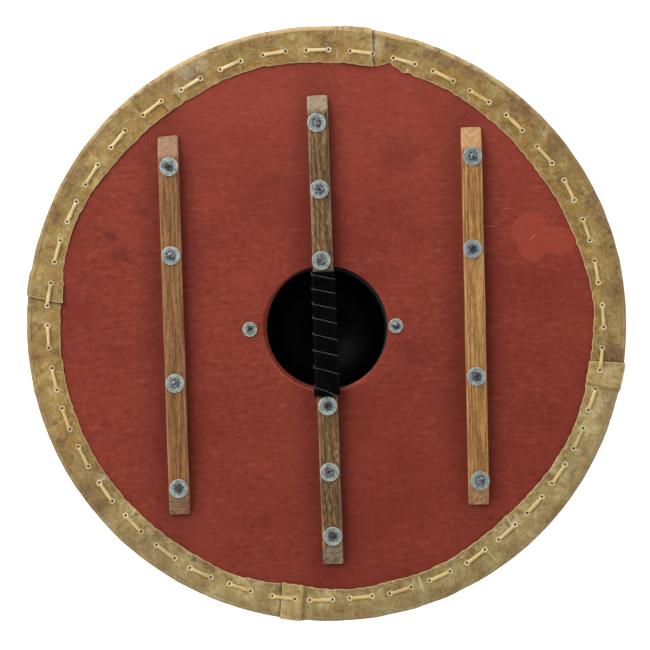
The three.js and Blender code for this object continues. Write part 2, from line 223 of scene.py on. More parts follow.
class Finish:
    """A procedural material: `put` adds a node, and the other methods add usual groups."""

    def __init__(self, name, **shader):
        self.material = bpy.data.materials.new(name)
        self.material.use_nodes = True
        self.tree = self.material.node_tree
        self.shader = next(n for n in self.tree.nodes if n.type == "BSDF_PRINCIPLED")
        self.place = self.put("TexCoord").outputs["Object"]
        self.feed(self.shader, shader)

    def feed(self, node, sockets):
        """Sets a node's sockets, named with _ for a space, to values or links outputs in."""
        for key, value in sockets.items():
            key = key.replace("_", " ")
            socket = node.inputs[int(key)] if key.isdigit() else node.inputs[key]
            if isinstance(value, bpy.types.NodeSocket):
                self.tree.links.new(value, socket)
            else:
                socket.default_value = value

    def put(self, kind, sockets=None, **settings):
        """Adds a shader node with these sockets and settings."""
        node = self.tree.nodes.new("ShaderNode" + kind)
        for key, value in settings.items():
            setattr(node, key, value)
        self.feed(node, sockets or {})
        return node

    def mapped(self, sizes, centre=(0, 0, 0), turn=0.0):
        """Coordinates counted in `sizes` metres from `centre`, turned about Z."""
        moved = self.put(
            "Mapping",
            {
                "Vector": self.place,
                "Location": tuple(centre),
                "Rotation": (0, 0, turn),
                "Scale": tuple(sizes),
            },
            vector_type="TEXTURE",
        )
        return moved.outputs["Vector"]

    def noise(self, size, detail=3.0, roughness=0.5, bend=0.0, **where):
        """Soft noise whose features are about `size` metres: one number, or X, Y and Z."""
        sizes = size if hasattr(size, "__len__") else (size,) * 3
        node = self.put(
            "TexNoise",
            {
                "Vector": self.mapped(sizes, **where),
                "Scale": 1.0,
                "Detail": detail,
                "Roughness": roughness,
                "Distortion": bend,
            },
        )
        return node.outputs["Fac"]

    def ramp(self, factor, *stops):
        """A colour ramp from (position, colour or grey) stops."""
        node = self.put("ValToRGB", {"Fac": factor})
        elements = node.color_ramp.elements
        while len(elements) < len(stops):
            elements.new(0.5)
        for element, (position, colour) in zip(elements, stops):
            element.position = position
            element.color = colour if hasattr(colour, "__len__") else (*(colour,) * 3, 1)
        return node.outputs["Color"]

    def mask(self, factor, low, high):
        """0 where factor is below `low`, 1 above `high`, eased between; or the other way."""
        node = self.put(
            "MapRange",
            {"Value": factor, "From_Min": low, "From_Max": high, "To_Min": 0.0, "To_Max": 1.0},
            interpolation_type="SMOOTHSTEP",
        )
        return node.outputs["Result"]

    def calc(self, operation, a, b=0.0):
        """A Math node on two values."""
        return self.put("Math", {"0": a, "1": b}, operation=operation).outputs[0]

    def part(self, output, share):
        """A share of an output: the two multiplied."""
        return self.calc("MULTIPLY", output, share)

    def blend(self, *weighted):
        """The sum of (output or number, weight) pairs."""
        total = self.part(*weighted[0])
        for output, weight in weighted[1:]:
            total = self.calc("ADD", total, self.part(output, weight))
        return total

    def mix(self, factor, a, b):
        """Colour a with colour b over it, as far as factor says."""
        node = self.put("Mix", data_type="RGBA")
        self.feed(node, {"0": factor, "6": a, "7": b})
        return node.outputs[2]

    def over(self, below, where, share, colour):
        """The colour below, covered with `colour` where `where` is 1, as far as `share` says."""
        return self.mix(self.part(where, share), below, tone(*colour))

    def spot(self, x, y, level, half_x, half_y, ragged, grain, soft=0.12, turn=0.0):
        """A patch about (x, y) on the face at height `level`: 1 inside, 0 outside and on other
        faces. Its place and half sizes are in mm. Its outline is as uneven as `ragged` says,
        with features of `grain` metres, and as blurred as `soft` says."""
        sizes = (half_x * MM, half_y * MM, 5 * MM)
        flat = self.mapped(sizes, centre=(x * MM, y * MM, level), turn=turn)
        away = self.put("VectorMath", {"0": flat}, operation="LENGTH").outputs["Value"]
        rough = self.part(self.noise(grain, detail=4), 2 * ragged)
        return self.mask(self.calc("ADD", away, rough), 1 + soft + ragged, 1 - soft + ragged)

    def mark(self, name):
        """A vertex attribute of the piece."""
        return self.put("Attribute", attribute_name=name).outputs["Fac"]

    def relief(self, height, distance):
        """Bump from a height that runs 0 to 1, `distance` metres deep."""
        sockets = {"Height": height, "Distance": distance, "Strength": 1.0}
        if self.shader.inputs["Normal"].is_linked:
            sockets["Normal"] = self.shader.inputs["Normal"].links[0].from_socket
        bump = self.put("Bump", sockets)
        self.feed(self.shader, {"Normal": bump.outputs["Normal"]})

    def colour(self, output):
        """Gives the shader its colour."""
        self.feed(self.shader, {"Base_Color": output})

    def dull(self, output):
        """Gives the shader its roughness."""
        self.feed(self.shader, {"Roughness": output})


# %% [markdown]
# ## Camera, light and floor
#
# The shield is looked at from straight above, a little rolled. A long lens keeps the view
# nearly flat. A broad light from the upper left models the battens and the rim, and a pale
# world fills the shadows.

# %% Camera
VIEW_HEIGHT = 3.0  # of the camera above the floor
VIEW_SPAN = 0.828  # width of the view at the height of the board's back
VIEW_CENTRE = (-1.7 * MM, -2.3 * MM)
ROLL = math.radians(1.75)

lens_data = bpy.data.cameras.new("camera")
lens_data.sensor_width = 36.0
lens_data.lens = lens_data.sensor_width * (VIEW_HEIGHT - BOARD_BACK) / VIEW_SPAN
camera = bpy.data.objects.new("camera", lens_data)
camera.location = (*VIEW_CENTRE, VIEW_HEIGHT)
camera.rotation_euler = (0, 0, -ROLL)
bpy.context.scene.collection.objects.link(camera)
bpy.context.scene.camera = camera
print(f"lens {lens_data.lens:.1f} mm")


# %% Lights and world
def softbox(name, location, size, power, colour=(1, 1, 1)):
    """A square light at `location`, turned to face the middle of the shield."""
    data = bpy.data.lights.new(name, "AREA")
    data.shape, data.size, data.energy, data.color = "SQUARE", size, power, colour
    lamp = bpy.data.objects.new(name, data)
    lamp.location = location
    lamp.rotation_euler = (-lamp.location).to_track_quat("-Z", "Y").to_euler()
    bpy.context.scene.collection.objects.link(lamp)


softbox("key", (-2.5, 2.6, 2.8), 3.0, 135, (1.0, 0.99, 0.97))

world = bpy.data.worlds.new("world")
world.use_nodes = True
sky_nodes, sky_links = world.node_tree.nodes, world.node_tree.links
direction = sky_nodes.new("ShaderNodeTexCoord")
height = sky_nodes.new("ShaderNodeSeparateXYZ")
sky = sky_nodes.new("ShaderNodeValToRGB")
SKY = [(0.35, (1.55, 1.55, 1.58, 1)), (0.85, (0.05, 0.055, 0.06, 1))]  # (height, colour)
for element, (position, colour) in zip(sky.color_ramp.elements, SKY):
    element.position, element.color = position, colour
sky_links.new(direction.outputs["Generated"], height.inputs[0])
sky_links.new(height.outputs["Z"], sky.inputs["Fac"])
sky_links.new(sky.outputs["Color"], sky_nodes["Background"].inputs["Color"])
bpy.context.scene.world = world
bpy.context.scene.view_settings.view_transform = "Standard"

# %% Floor
FLOOR_HALF = 6.0
floor_finish = Finish("floor", Base_Color=(0.8, 0.8, 0.8, 1), Roughness=0.95)
glow = {"Emission_Color": (1, 1, 1, 1), "Emission_Strength": 0.75}
floor_finish.feed(floor_finish.shader, glow)
floor_mesh = bpy.data.meshes.new("floor")
floor_corners = [(-1, -1), (1, -1), (1, 1), (-1, 1)]
floor_points = [(x * FLOOR_HALF, y * FLOOR_HALF, 0) for x, y in floor_corners]
floor_mesh.from_pydata(floor_points, [], [(0, 1, 2, 3)])
floor_mesh.materials.append(floor_finish.material)
floor = bpy.data.objects.new("floor", floor_mesh)
bpy.context.scene.collection.objects.link(floor)

# %% [markdown]
# ## The board
#
# The board is a sheet of plywood, painted red on both sides with a brush. It has a round hand
# hole, a little off its middle. It is one closed skin: a profile of the board's thickness,
# softened at its corners, is carried round, blending from the hole's circle to the outline.

# %% Outline of the shield
SHIELD_RADIUS = 381 * MM  # of the construction model, over the rawhide
RIM_RADIUS = 381.3 * MM  # of the real outline, on average
HIDE = 1.6 * MM  # thickness of the rawhide
# How it is out of round: (number of lobes, their size, angle of one of them)
OUT_OF_ROUND = [(1, 0.5 * MM, -60), (2, 1.67 * MM, -14), (4, 0.49 * MM, 37.5)]


def outline(degrees):
    """The disc's radius over the rawhide at angles in degrees: a circle with slight lobes,
    the sum over its lobes of size * cos(lobes * (angle - angle of a lobe))."""
    lobes = [size * np.cos(n * np.radians(degrees - at)) for n, size, at in OUT_OF_ROUND]
    return RIM_RADIUS + sum(lobes)


# %% Board shape
HAND_HOLE = (-1 * MM, -6 * MM)
HAND_HOLE_RADIUS = 79 * MM
BOARD_EDGE = 4 * MM  # rounding of the outer edge, inside the rawhide
EDGE_ROOM = 0.8 * MM  # between the outer edge and the rawhide
HOLE_EDGE = 0.9 * MM  # rounding of the hand hole's edges
HOLE_SLOPE = (-4.6 * MM, 1.4 * MM)  # the saw leaned on the left: radius there, front and back


def board_profile():
    """(share of the way out, distance out from there, height) round the board's section: up
    the wall of the hole, out along the back, round the edge and in along the front."""
    middle = (BOARD_FRONT + BOARD_BACK) / 2
    half = (BOARD_BACK - BOARD_FRONT) / 2
    bend = np.linspace(0, math.pi / 2, 5)
    rise = bend[::-1]
    hole = (0 * rise, HOLE_EDGE * (1 - np.sin(rise)), half - HOLE_EDGE * (1 - np.cos(rise)))
    face = np.linspace(0, 1, 26)[1:-1]
    back = (face, HOLE_EDGE * (1 - face) - BOARD_EDGE * face, half + 0 * face)
    edge = (1 + 0 * bend, BOARD_EDGE * (np.sin(bend) - 1), half - BOARD_EDGE * (1 - np.cos(bend)))
    upper = [np.concatenate(parts) for parts in zip(hole, back, edge)]
    signs = (1, 1, -1)  # the front mirrors the back
    share, out, height = (np.concatenate([a, s * a[::-1]]) for a, s in zip(upper, signs))
    return share, out, height + middle


def board_points(sides=360):
    """The board's section carried round the disc: at each angle, from the hand hole's circle
    to the outer circle."""
    share, out, height = board_profile()
    angle = np.linspace(0, 2 * math.pi, sides, endpoint=False)[:, None]
    radial = np.concatenate([np.cos(angle), np.sin(angle)], -1)
    slope = np.interp(height, [BOARD_FRONT, BOARD_BACK], HOLE_SLOPE)
    hole_radius = HAND_HOLE_RADIUS + toward(np.degrees(angle), 205, 85) * slope
    near = np.array(HAND_HOLE) + hole_radius[..., None] * radial[:, None]
    far = (outline(np.degrees(angle)) - HIDE - EDGE_ROOM) * radial
    share, out = share[:, None], out[:, None]
    flat = near * (1 - share) + far[:, None] * share + radial[:, None] * out
    return np.concatenate([flat, np.broadcast_to(height[:, None], (*flat.shape[:2], 1))], -1)


def hole_wear(points):
    """How far the paint is worn off the hand hole's edges, most at the lower left."""
    x, y, z = np.moveaxis(points - np.array([*HAND_HOLE, 0]), -1, 0)
    near_wall = 1 - smooth((np.hypot(x, y) - HAND_HOLE_RADIUS - 1.5 * MM) / (1.5 * MM))
    near_top = smooth((z - BOARD_BACK + 2 * MM) / (1.5 * MM))
    return near_wall * near_top * (0.3 + 0.7 * toward(np.degrees(np.arctan2(y, x)), 245, 80))


# %% [markdown]
# The paint is thin, so the brush strokes and the grain of the plywood show through as fine
# streaks across the board. There are a few dark stains, pale specks where it is chipped, and
# one patch that was touched up in a brighter red, with two scratches across it.


# %% Red paint
STAINS = [  # (x, y, size) in mm, how dark
    (-272, 117, 9, 0.5),
    (-258, 96, 13, 0.35),
    (-232, 150, 10, 0.22),
    (-64, 186, 12, 0.2),
    (60, 236, 5, 0.3),
    (100, 214, 26, 0.18),
    (118, -42, 22, 0.2),
    (-90, -250, 12, 0.2),
    (258, -120, 30, 0.16),
]
# Painted shade: a soft band of darker paint along each batten, where the batten shades the board
BATTEN_SHADE = [(-197, 3, 280), (-5, -8, 340), (185, 3, 280)]  # (x, y, half length) in mm, by a batten
BATTEN_SHADE_HALF = 31  # half width in mm
TOUCHED_UP = [(266, 104, 26, 28), (296, 97, 27, 19), (267, 85, 18, 14)]  # x, y, half sizes
SCRATCHES = [  # (x, y, half length) in mm, direction in degrees
    (265, 101, 5, 40),
    (268, 103, 5, 56),
    (212, 117, 8, -3),
    (234, 139, 4, -2),
    (247, 130, 1, 0),
]
SCRATCH_HALF = 0.55  # half width in mm


def brushed_red(paint, streaks, cloud):
    """The red along the streaks: darker or lighter in broad clouds, lighter toward the top as
    painted light, darker toward the lower right as painted shade, and crossed by a few dark wisps."""
    red = paint.ramp(
        streaks,
        (0.38, tone(108, 37, 27)),
        (0.46, tone(132, 52, 38)),
        (0.54, tone(143, 58, 43)),
        (0.64, tone(166, 78, 60)),
    )
    red = paint.over(red, paint.mask(cloud, 0.45, 0.7), 0.6, (122, 42, 30))
    red = paint.over(red, paint.mask(cloud, 0.48, 0.3), 0.35, (152, 66, 48))
    where = paint.put("SeparateXYZ", {"0": paint.place}).outputs
    # Painted light: the red is made lighter toward the top
    painted_light_top = paint.mask(paint.blend((where["X"], 0.12), (where["Y"], 1.0)), 0.08, 0.3)
    red = paint.over(red, painted_light_top, 0.3, (164, 74, 58))
    # Painted shade: the red is made darker toward the lower right
    painted_shade_low = paint.mask(paint.blend((where["X"], 0.35), (where["Y"], -1.0)), -0.05, 0.3)
    red = paint.over(red, painted_shade_low, 0.28, (112, 40, 26))
    wisps = paint.noise((0.045, 0.0035, 0.01), detail=4, roughness=0.7, bend=0.6)
    return paint.over(red, paint.mask(wisps, 0.64, 0.76), 0.3, (92, 30, 24))


def touched_up_patch(paint):
    """1 on the patch that was painted over, which is the union of a few dabs."""
    patch = 0.0
    for x, y, half_x, half_y in TOUCHED_UP:
        dab = paint.spot(x, y, BOARD_BACK, half_x, half_y, 0.4, 0.014, soft=0.07)
        patch = paint.calc("MAXIMUM", patch, dab)
    return patch


def red_paint():
    """Red paint brushed across the board, with painted shade beside the battens, touched up in
    one place, stained, scratched and chipped."""
    paint = Finish("red_paint", Roughness=0.6, Specular_IOR_Level=0.2)
    strokes = paint.noise((0.035, 0.0045, 0.01), detail=6, roughness=0.68, bend=0.5)
    fine = paint.noise((0.02, 0.0013, 0.01), detail=3, roughness=0.6, turn=0.02)
    cross = paint.noise((0.0022, 0.04, 0.01), detail=3, roughness=0.55, turn=0.015)
    mottle = paint.noise((0.009, 0.007, 0.01), detail=4, roughness=0.65, bend=0.4)
    cloud = paint.noise((0.12, 0.09, 0.1), detail=5, roughness=0.6, bend=0.3)
    woven = paint.part(paint.mask(cloud, 0.42, 0.6), 0.2)
    cross = paint.part(paint.calc("SUBTRACT", cross, 0.5), woven)
    streaks = paint.blend((strokes, 0.34), (fine, 0.16), (cross, 1.0), (mottle, 0.4), (0.05, 1.0))
    red = brushed_red(paint, streaks, cloud)
    # Painted shade along each batten
    for x, y, half in BATTEN_SHADE:
        grime_and_shade = paint.spot(x, y, BOARD_BACK, BATTEN_SHADE_HALF, half, 0.15, 0.03, soft=0.6)
        red = paint.over(red, grime_and_shade, 0.36, (72, 25, 17))
    touched_up = touched_up_patch(paint)
    red = paint.over(red, touched_up, 0.55, (166, 70, 49))
    for x, y, size, depth in STAINS:
        stain = paint.spot(x, y, BOARD_BACK, size, size * 0.7, 1.2, 0.01, soft=0.45)
        red = paint.over(red, stain, depth, (66, 26, 24))
    for x, y, half, direction in SCRATCHES:
        turn = math.radians(direction)
        scratch = paint.spot(x, y, BOARD_BACK, half, SCRATCH_HALF, 0.3, 0.004, turn=turn)
        red = paint.over(red, scratch, 0.48, (206, 120, 92))
    specks = paint.mask(paint.noise((0.004, 0.003, 0.01), detail=2, roughness=0.8), 0.80, 0.84)
    red = paint.over(red, specks, 0.5, (190, 120, 100))
    chipped = paint.mask(paint.blend((paint.mark("worn"), 1.0), (mottle, 0.8)), 0.95, 1.25)
    red = paint.over(red, chipped, 0.45, (190, 108, 78))
    paint.colour(red)
    paint.dull(paint.ramp(streaks, (0.3, 0.7), (0.7, 0.5)))
    paint.relief(streaks, 0.35 * MM)
    paint.relief(touched_up, 0.2 * MM)
    return paint.material


# %% Board
board = board_points()
board_piece = make_piece(
    "panel",
    board,
    grid_faces(*board.shape[:2], wrap_rows=True, wrap_columns=True),
    red_paint(),
    {"worn": hole_wear(board)},
)
print("board", len(board_piece.data.polygons), "faces")

# %% [markdown]
# ## The rawhide rim
#
# Rawhide goes on wet, folded over the edge, and shrinks hard and tight as it dries. Four
# strips go round, and at each seam the end of one lies over the end of the next. A cord in
# running stitch pulls both flanges down through holes made with an awl.
#
# The stitches come first, because the hide takes its shape from them: a dimple with a raised
# lip at each hole, and a slight pull along each stitch.

# %% Stitches and their holes
SEAM_STITCHES = [81.3, 172.2, 259.4, 351]  # middles of the stitches over the seams, degrees
STITCHES_TO_NEXT_SEAM = [10, 10, 11, 10]
LACE_RADIUS = 352 * MM
STITCH = 28 * MM  # from hole to hole along the back
CORD = 4.5 * MM  # width
CORD_HEIGHT = 3.2 * MM  # pulled tight, it lies a little flat


def stitch_middles():
    """The middle of each stitch in degrees: one on each seam, and the others evenly between."""
    seams = [*SEAM_STITCHES, SEAM_STITCHES[0] + 360]
    spans = zip(seams, seams[1:], STITCHES_TO_NEXT_SEAM)
    return np.concatenate([np.linspace(a, b, n, endpoint=False) for a, b, n in spans])


def along_rim(distance, radius=LACE_RADIUS):
    """A distance along the rim as an angle in degrees."""
    return np.degrees(distance / radius)


# How the awl wandered from even stitches: (angle, mm along the rim, mm outward)
DRIFT = [
    (0, -2.5, 0.3),
    (9, -0.5, -1.2),
    (28, -1, 1.5),
    (38, -2, -1),
    (54, 0, -3.5),
    (65, -2, -4),
    (73, -3.5, -3.8),
    (86, -2, -4),
    (100, -2, -1.6),
    (109, 0.5, -1.4),
    (121, 1.5, -1.4),
    (136, 5.5, 2.7),
    (145, 6, 1.7),
    (163, 1, 3),
    (175, 0.5, 3),
    (192, 1.5, 1.4),
    (208, -0.7, 0.7),
    (233, -1, 3.4),
    (242, -2.8, 4.4),
    (251, -2.5, 1.4),
    (260, 0, 2.6),
    (268, -3.5, -0.4),
    (285, -3.5, 1.4),
    (301, 0, 1.3),
    (312, -2, -0.5),
    (327, -4.5, 1),
    (343, -3, 0.8),
    (351, -1, 1.7),
]

hand_work = np.random.default_rng(41)
middles = stitch_middles()
drift_at, drift_along, drift_out = np.array(DRIFT).T
middles = middles + along_rim(np.interp(middles, drift_at, drift_along, period=360) * MM)
hole_angles = (middles[:, None] + along_rim(STITCH / 2) * np.array([-1, 1])).ravel()
hole_angles = hole_angles + along_rim(hand_work.normal(0, 0.3 * MM, hole_angles.size))
hole_radii = LACE_RADIUS + np.interp(hole_angles, drift_at, drift_out, period=360) * MM
hole_radii = hole_radii + hand_work.normal(0, 0.5 * MM, hole_angles.size)
print(len(middles), "stitches,", hole_angles.size, "holes")

# %% [markdown]
# A strip is a sheet folded round the edge. Its outer face is a grid: rows go along the rim,
# closer together at the holes, and columns go across, from the cut edge on the back, round
# the fold, to the cut edge in front. Each point moves along its own normal by all that bends
# the hide there. The inner face follows a hide's thickness below.

# %% The four strips
FOLD = 5 * MM  # outer radius of the fold round the edge
FRONT_WIDTH = 43 * MM
LIFT = HIDE + GAP  # how far an end stands off over its neighbour
LACED_BAND = (344 * MM, 360 * MM)  # radii between which the holes lie
LEAD_AT = [352 * MM, 340 * MM, 334 * MM]
FAR = 60  # mm along the rim, farther than a seam reaches
AWL_HOLE = 1.9 * MM  # radius of the crater that the awl leaves
AWL_LIP = 2.9 * MM  # radius of the raised lip round it

# Angles are in degrees. `laps` says how far each end lies over a neighbour, 0 where it lies
# under, and `leads` how far the end is ahead of its outer corner at the radii LEAD_AT. `widths`
# are the back flange's in mm, evenly spaced along the strip. `notches` are (angle, depth in mm,
# half width) cuts, and tongues where the depth is negative.
STRIPS = {
    "rim_strip_upper_left": {
        "ends": (79.6, 173.0),
        "laps": (4.7, 4.0),
        "leads": [(-1.0, -1.2, -1.7), (0.7, 0.9, 0.9)],
        "widths": [49.5, 49.5, 47.5, 44.8, 45, 47, 46, 45.5, 43.5, 39, 37, 38.5, 45],
        "notches": [(169.4, -1.5, 0.25)],
    },
    "rim_strip_lower_left": {
        "ends": (169, 263),
        "laps": (0, 0),
        "leads": [(0, 0, 0), (0, 0, 0)],
        "widths": [40, 42.5, 41.5, 41, 41, 40.5, 41, 41.5, 42, 42, 39.5, 43, 46.5],
        "notches": [],
    },
    "rim_strip_lower_right": {
        "ends": (259.4, 350.7),
        "laps": (3.6, 4.8),
        "leads": [(-0.4, -0.6, -0.7), (-0.4, -0.6, -0.8)],
        "widths": [47.5, 43, 40.5, 42.5, 41, 42, 44.5, 45, 43, 40.5, 39, 40.5, 43.5],
        "notches": [],
    },
    "rim_strip_upper_right": {
        "ends": (345.9, 444.2),
        "laps": (0, 0),
        "leads": [(0, 0, 0), (0, 0, 0)],
        "widths": [42.5, 41, 39.5, 43.5, 47, 48, 50.5, 49, 48.5, 46.5, 47, 43, 47],
        "notches": [(434.5, 4.2, 1.0), (437.6, -4.2, 1.7), (431.2, -2.5, 0.7)],
    },
}

# Creases in the hide, and ridges where the depth is negative: (angle, radius in mm, length in
# mm, slant in degrees, depth in mm)
CREASES = [
    (125.1, 343, 18, 4, 0.9),
    (121.7, 343, 15, -6, 0.8),
    (107.6, 340, 9, 10, 0.5),
    (106.2, 342, 14, -4, 0.7),
    (86.2, 356, 44, 3, -0.5),
    (70.3, 340, 12, -8, -0.7),
    # This one and the next also paint the shadow under the curled hide by the notch
    (75.8, 341.5, 7, 62, 0.9),
    (77.8, 336.5, 6, 80, 0.7),
    (39.1, 370, 18, 0, -0.3),
    (282.7, 365, 20, 0, -0.3),
    (288.1, 357, 34, -4, -0.5),
    (303.7, 364, 18, 4, -0.35),
    (308.9, 364, 16, 3, -0.4),
    (310.2, 345, 22, -5, 0.7),
    (309.5, 343, 20, 3, -0.6),
    (311.0, 344, 18, -16, -0.5),
    (222.7, 345, 13, 0, -0.4),
    (213.2, 347, 12, -4, -0.4),
    (263.3, 357, 30, 2, 0.4),
    (346.0, 363, 24, 0, 0.7),
    (173.6, 369, 12, 5, 0.5),
]


# %% Rows and columns of a strip
def strip_rows(start, end):
    """Angles of a strip's rows: even steps of 3 mm, and steps of 0.75 mm about each hole."""
    even = np.linspace(start, end, 1 + round((end - start) / along_rim(3 * MM)))
    holes = np.concatenate([hole_angles, hole_angles + 360])
    fine = (holes[:, None] + along_rim(np.linspace(-3.75, 3.75, 11) * MM)).ravel()
    fine = fine[(fine > start + 0.1) & (fine < end - 0.1)]
    rows = np.unique(np.concatenate([even, fine]))
    return rows[np.insert(np.diff(rows) > along_rim(0.3 * MM), 0, True)]


def strip_columns():
    """Of each column: its place among the radii of `strip_anchors`, the direction of its
    normal above the horizontal, and 1 on the back's side of the edge or -1 on the front's."""
    back = [[0, 0.15, 0.45], np.linspace(1, 2, 5, endpoint=False)]
    back += [np.linspace(2, 3, 22, endpoint=False), np.linspace(3, 4, 8)]
    front = [np.linspace(5, 6, 5)[1:], np.linspace(6, 7, 12)[1:], np.linspace(7, 8, 5)[1:]]
    back, front = np.concatenate(back), np.concatenate(front)
    bend = np.radians(np.linspace(90, 0, 8))
    place = np.concatenate([back, 0 * bend[1:] + 4, 0 * bend + 5, front])
    normal = np.concatenate([0 * back + bend[0], bend[1:], -bend[::-1], 0 * front - bend[0]])
    side = np.where(place < 4.5, 1, -1)
    return place, normal, side


# %% What bends the hide
def hole_distance(angle, radius):
    """Distance of each point of a grid from the nearest hole."""
    along = np.radians(apart(angle[..., None], hole_angles)) * radius[..., None]
    across = radius[..., None] - hole_radii
    return np.hypot(along, across).min(-1)


def pulled_down(angle, radius):
    """How strongly a stitch presses on each point: 1 under its middle, 0 far from it."""
    along = np.radians(np.abs(apart(angle[..., None], middles)).min(-1)) * radius
    near = np.exp(-((along / (11 * MM)) ** 2))
    return near * np.exp(-(((radius - LACE_RADIUS) / (6 * MM)) ** 2))


def creases(angle, radius):
    """Depth of the creases at each point, in metres: the sum of grooves along short lines. A
    line's slant is how far its outer end leans back."""
    total = np.zeros(np.broadcast(angle, radius).shape)
    for at, middle, length, slant, depth in CREASES:
        east = np.radians(apart(angle, at)) * radius
        north = radius - middle * MM
        turn = math.radians(slant)
        across = east * math.cos(turn) - north * math.sin(turn)
        along = east * math.sin(turn) + north * math.cos(turn)
        window = 1 - smooth((np.abs(along) - 0.3 * length * MM) / (0.25 * length * MM))
        total += depth * MM * window * np.exp(-((across / (1.1 * MM)) ** 2))
    return total


def lap_lift(angle, ends, laps):
    """1 where the strip lies over a neighbour, easing to 0 just past the neighbour's end."""
    lifts = []
    for end, lap in zip(ends, laps):
        inside = np.abs(angle - end)
        lifts.append((1 - smooth((inside - lap) / 1.4)) * (lap > 0))
    return np.maximum(*lifts)


# %% Surface of a strip
def cut_edge(angle, ends, widths, notches, seed):
    """Radius of the back flange's cut edge: interpolated widths, with a knife's wobble."""
    knots = np.linspace(*ends, len(widths))
    width = np.interp(angle, knots, widths) * MM
    width = width + wander(np.radians(angle), seed, 0.35 * MM, [40, 61, 83, 117, 150, 211])
    for at, depth, half in notches:
        width = width - depth * MM * np.exp(-(((angle - at) / half) ** 2))
    return SHIELD_RADIUS - width


def lead_at(radius, rim, leads):
    """How far an end runs ahead at each radius on the back, in degrees."""
    return np.interp(-radius, [-rim.max(), *(-r for r in LEAD_AT)], [0, *leads])


def from_seam(angle, radius, rim, back):
    """Distance along the rim to the nearest end of an upper strip, in mm, or FAR."""
    nearest = np.full(radius.shape, float(FAR))
    for strip in STRIPS.values():
        for end, lap, leads in zip(strip["ends"], strip["laps"], strip["leads"]):
            away = np.abs(apart(angle - end, lead_at(radius, rim, leads) * back))
            away = away * math.radians(1) * LACE_RADIUS / MM
            nearest = np.minimum(nearest, away) if lap else nearest
    return nearest


def strip_anchors(cut, rim):
    """Radii between which the columns are spread: across the back flange from its cut edge,
    the spot just inside that, and the laced band's two sides to the fold; the same in front."""
    low, high = (0 * rim + radius for radius in LACED_BAND)
    back = [cut, cut + 2 * MM, low, high, rim - FOLD]
    front = [rim - FOLD, high, low, 0 * rim + SHIELD_RADIUS - FRONT_WIDTH]
    return np.concatenate(back + front, 1)


def strip_surface(name):
    """Outer and inner face of a strip, and marks for its finish.

    A point of the outer face is (anchor radius + FOLD * cos(n), level + FOLD * sin(n)) at its
    column's normal direction n, moved along that normal by the sum of what bends the hide."""
    strip = STRIPS[name]
    ends, laps = strip["ends"], strip["laps"]
    upper = max(laps) > 0  # such a strip lies over both its neighbours
    angle = strip_rows(*ends)[:, None]
    place, normal, side = strip_columns()
    rim = outline(angle)
    cut = cut_edge(angle, ends, strip["widths"], strip["notches"], seed=len(name))
    anchors = strip_anchors(cut, rim)
    below = np.minimum(place.astype(int), anchors.shape[1] - 2)
    share = place - below
    radius = anchors[:, below] * (1 - share) + anchors[:, below + 1] * share
    level = np.where(side > 0, HIDE_BACK - FOLD, HIDE_FRONT + FOLD)

    from_start, to_end = angle - ends[0], ends[1] - angle
    nearer = np.minimum(from_start, to_end)
    turned = angle
    for away, leads in zip((from_start, to_end), strip["leads"]):
        turned = turned + lead_at(radius, rim, leads) * (side > 0) * (1 - smooth(away / 6))
    from_end = nearer * math.radians(1) * LACE_RADIUS
    from_cut = np.where(side > 0, radius - cut, radius - SHIELD_RADIUS + FRONT_WIDTH)
    from_cut = np.where(np.abs(np.cos(normal)) > 0.01, 40 * MM, from_cut)
    x, y = radius * np.cos(np.radians(turned)), radius * np.sin(np.radians(turned))

    lift = lap_lift(turned, ends, laps)
    free = 1 if upper else smooth((nearer - 4) / 3)  # 0 where a neighbour covers the strip
    ragged = wander(np.radians(angle), 7 + len(name), 0.3 * MM, [9, 14, 23, 37, 58])
    curl = np.clip((0.45 * MM + ragged) * free, 0, None) * free
    base = lift * LIFT + rumple(x, y, 5, 0.16 * MM, 34 * MM)
    base = base + curl * np.exp(-from_cut / (5 * MM))
    thick_end = 0.5 * MM * np.exp(-from_end / (5 * MM)) * np.exp(-from_cut / (16 * MM))
    base = base + upper * thick_end
    hole = hole_distance(turned, radius)
    lip = 0.7 * MM * np.exp(-(((hole - AWL_LIP) / (0.9 * MM)) ** 2))
    crater = 1.5 * MM * (1 - smooth(hole / AWL_HOLE))
    groove = creases(turned, radius) * free
    skin = base + rumple(x, y, 6, 0.07 * MM, 9 * MM) * free + lip - crater - groove
    skin = skin - 0.35 * MM * pulled_down(turned, radius) * free
    for from_edge in (from_cut, np.maximum(from_end, 0)):
        skin = skin - 0.5 * MM * np.exp(-from_edge / (0.4 * MM))  # rounds the cut corner

    def moved(distance):
        r = radius + (FOLD + distance) * np.cos(normal)
        z = level + (FOLD + distance) * np.sin(normal)
        return polar(np.radians(turned), r, z)

    marks = {
        "hole": np.minimum(hole, 12 * MM) / MM,
        "cut": np.clip(from_cut, 0, 40 * MM) / MM,
        "seam": np.clip(from_end / MM, 0, FAR) + 0 * radius,
        "lapped": lift,
        "beside": from_seam(turned, radius, rim, side > 0) + FAR * upper,
        "crease": np.clip(groove / MM, -1, 1),
        "out": np.clip((radius + FOLD * np.cos(normal) - rim + 50 * MM) / (50 * MM), 0, 1),
    }
    return moved(skin), moved(base - HIDE), marks
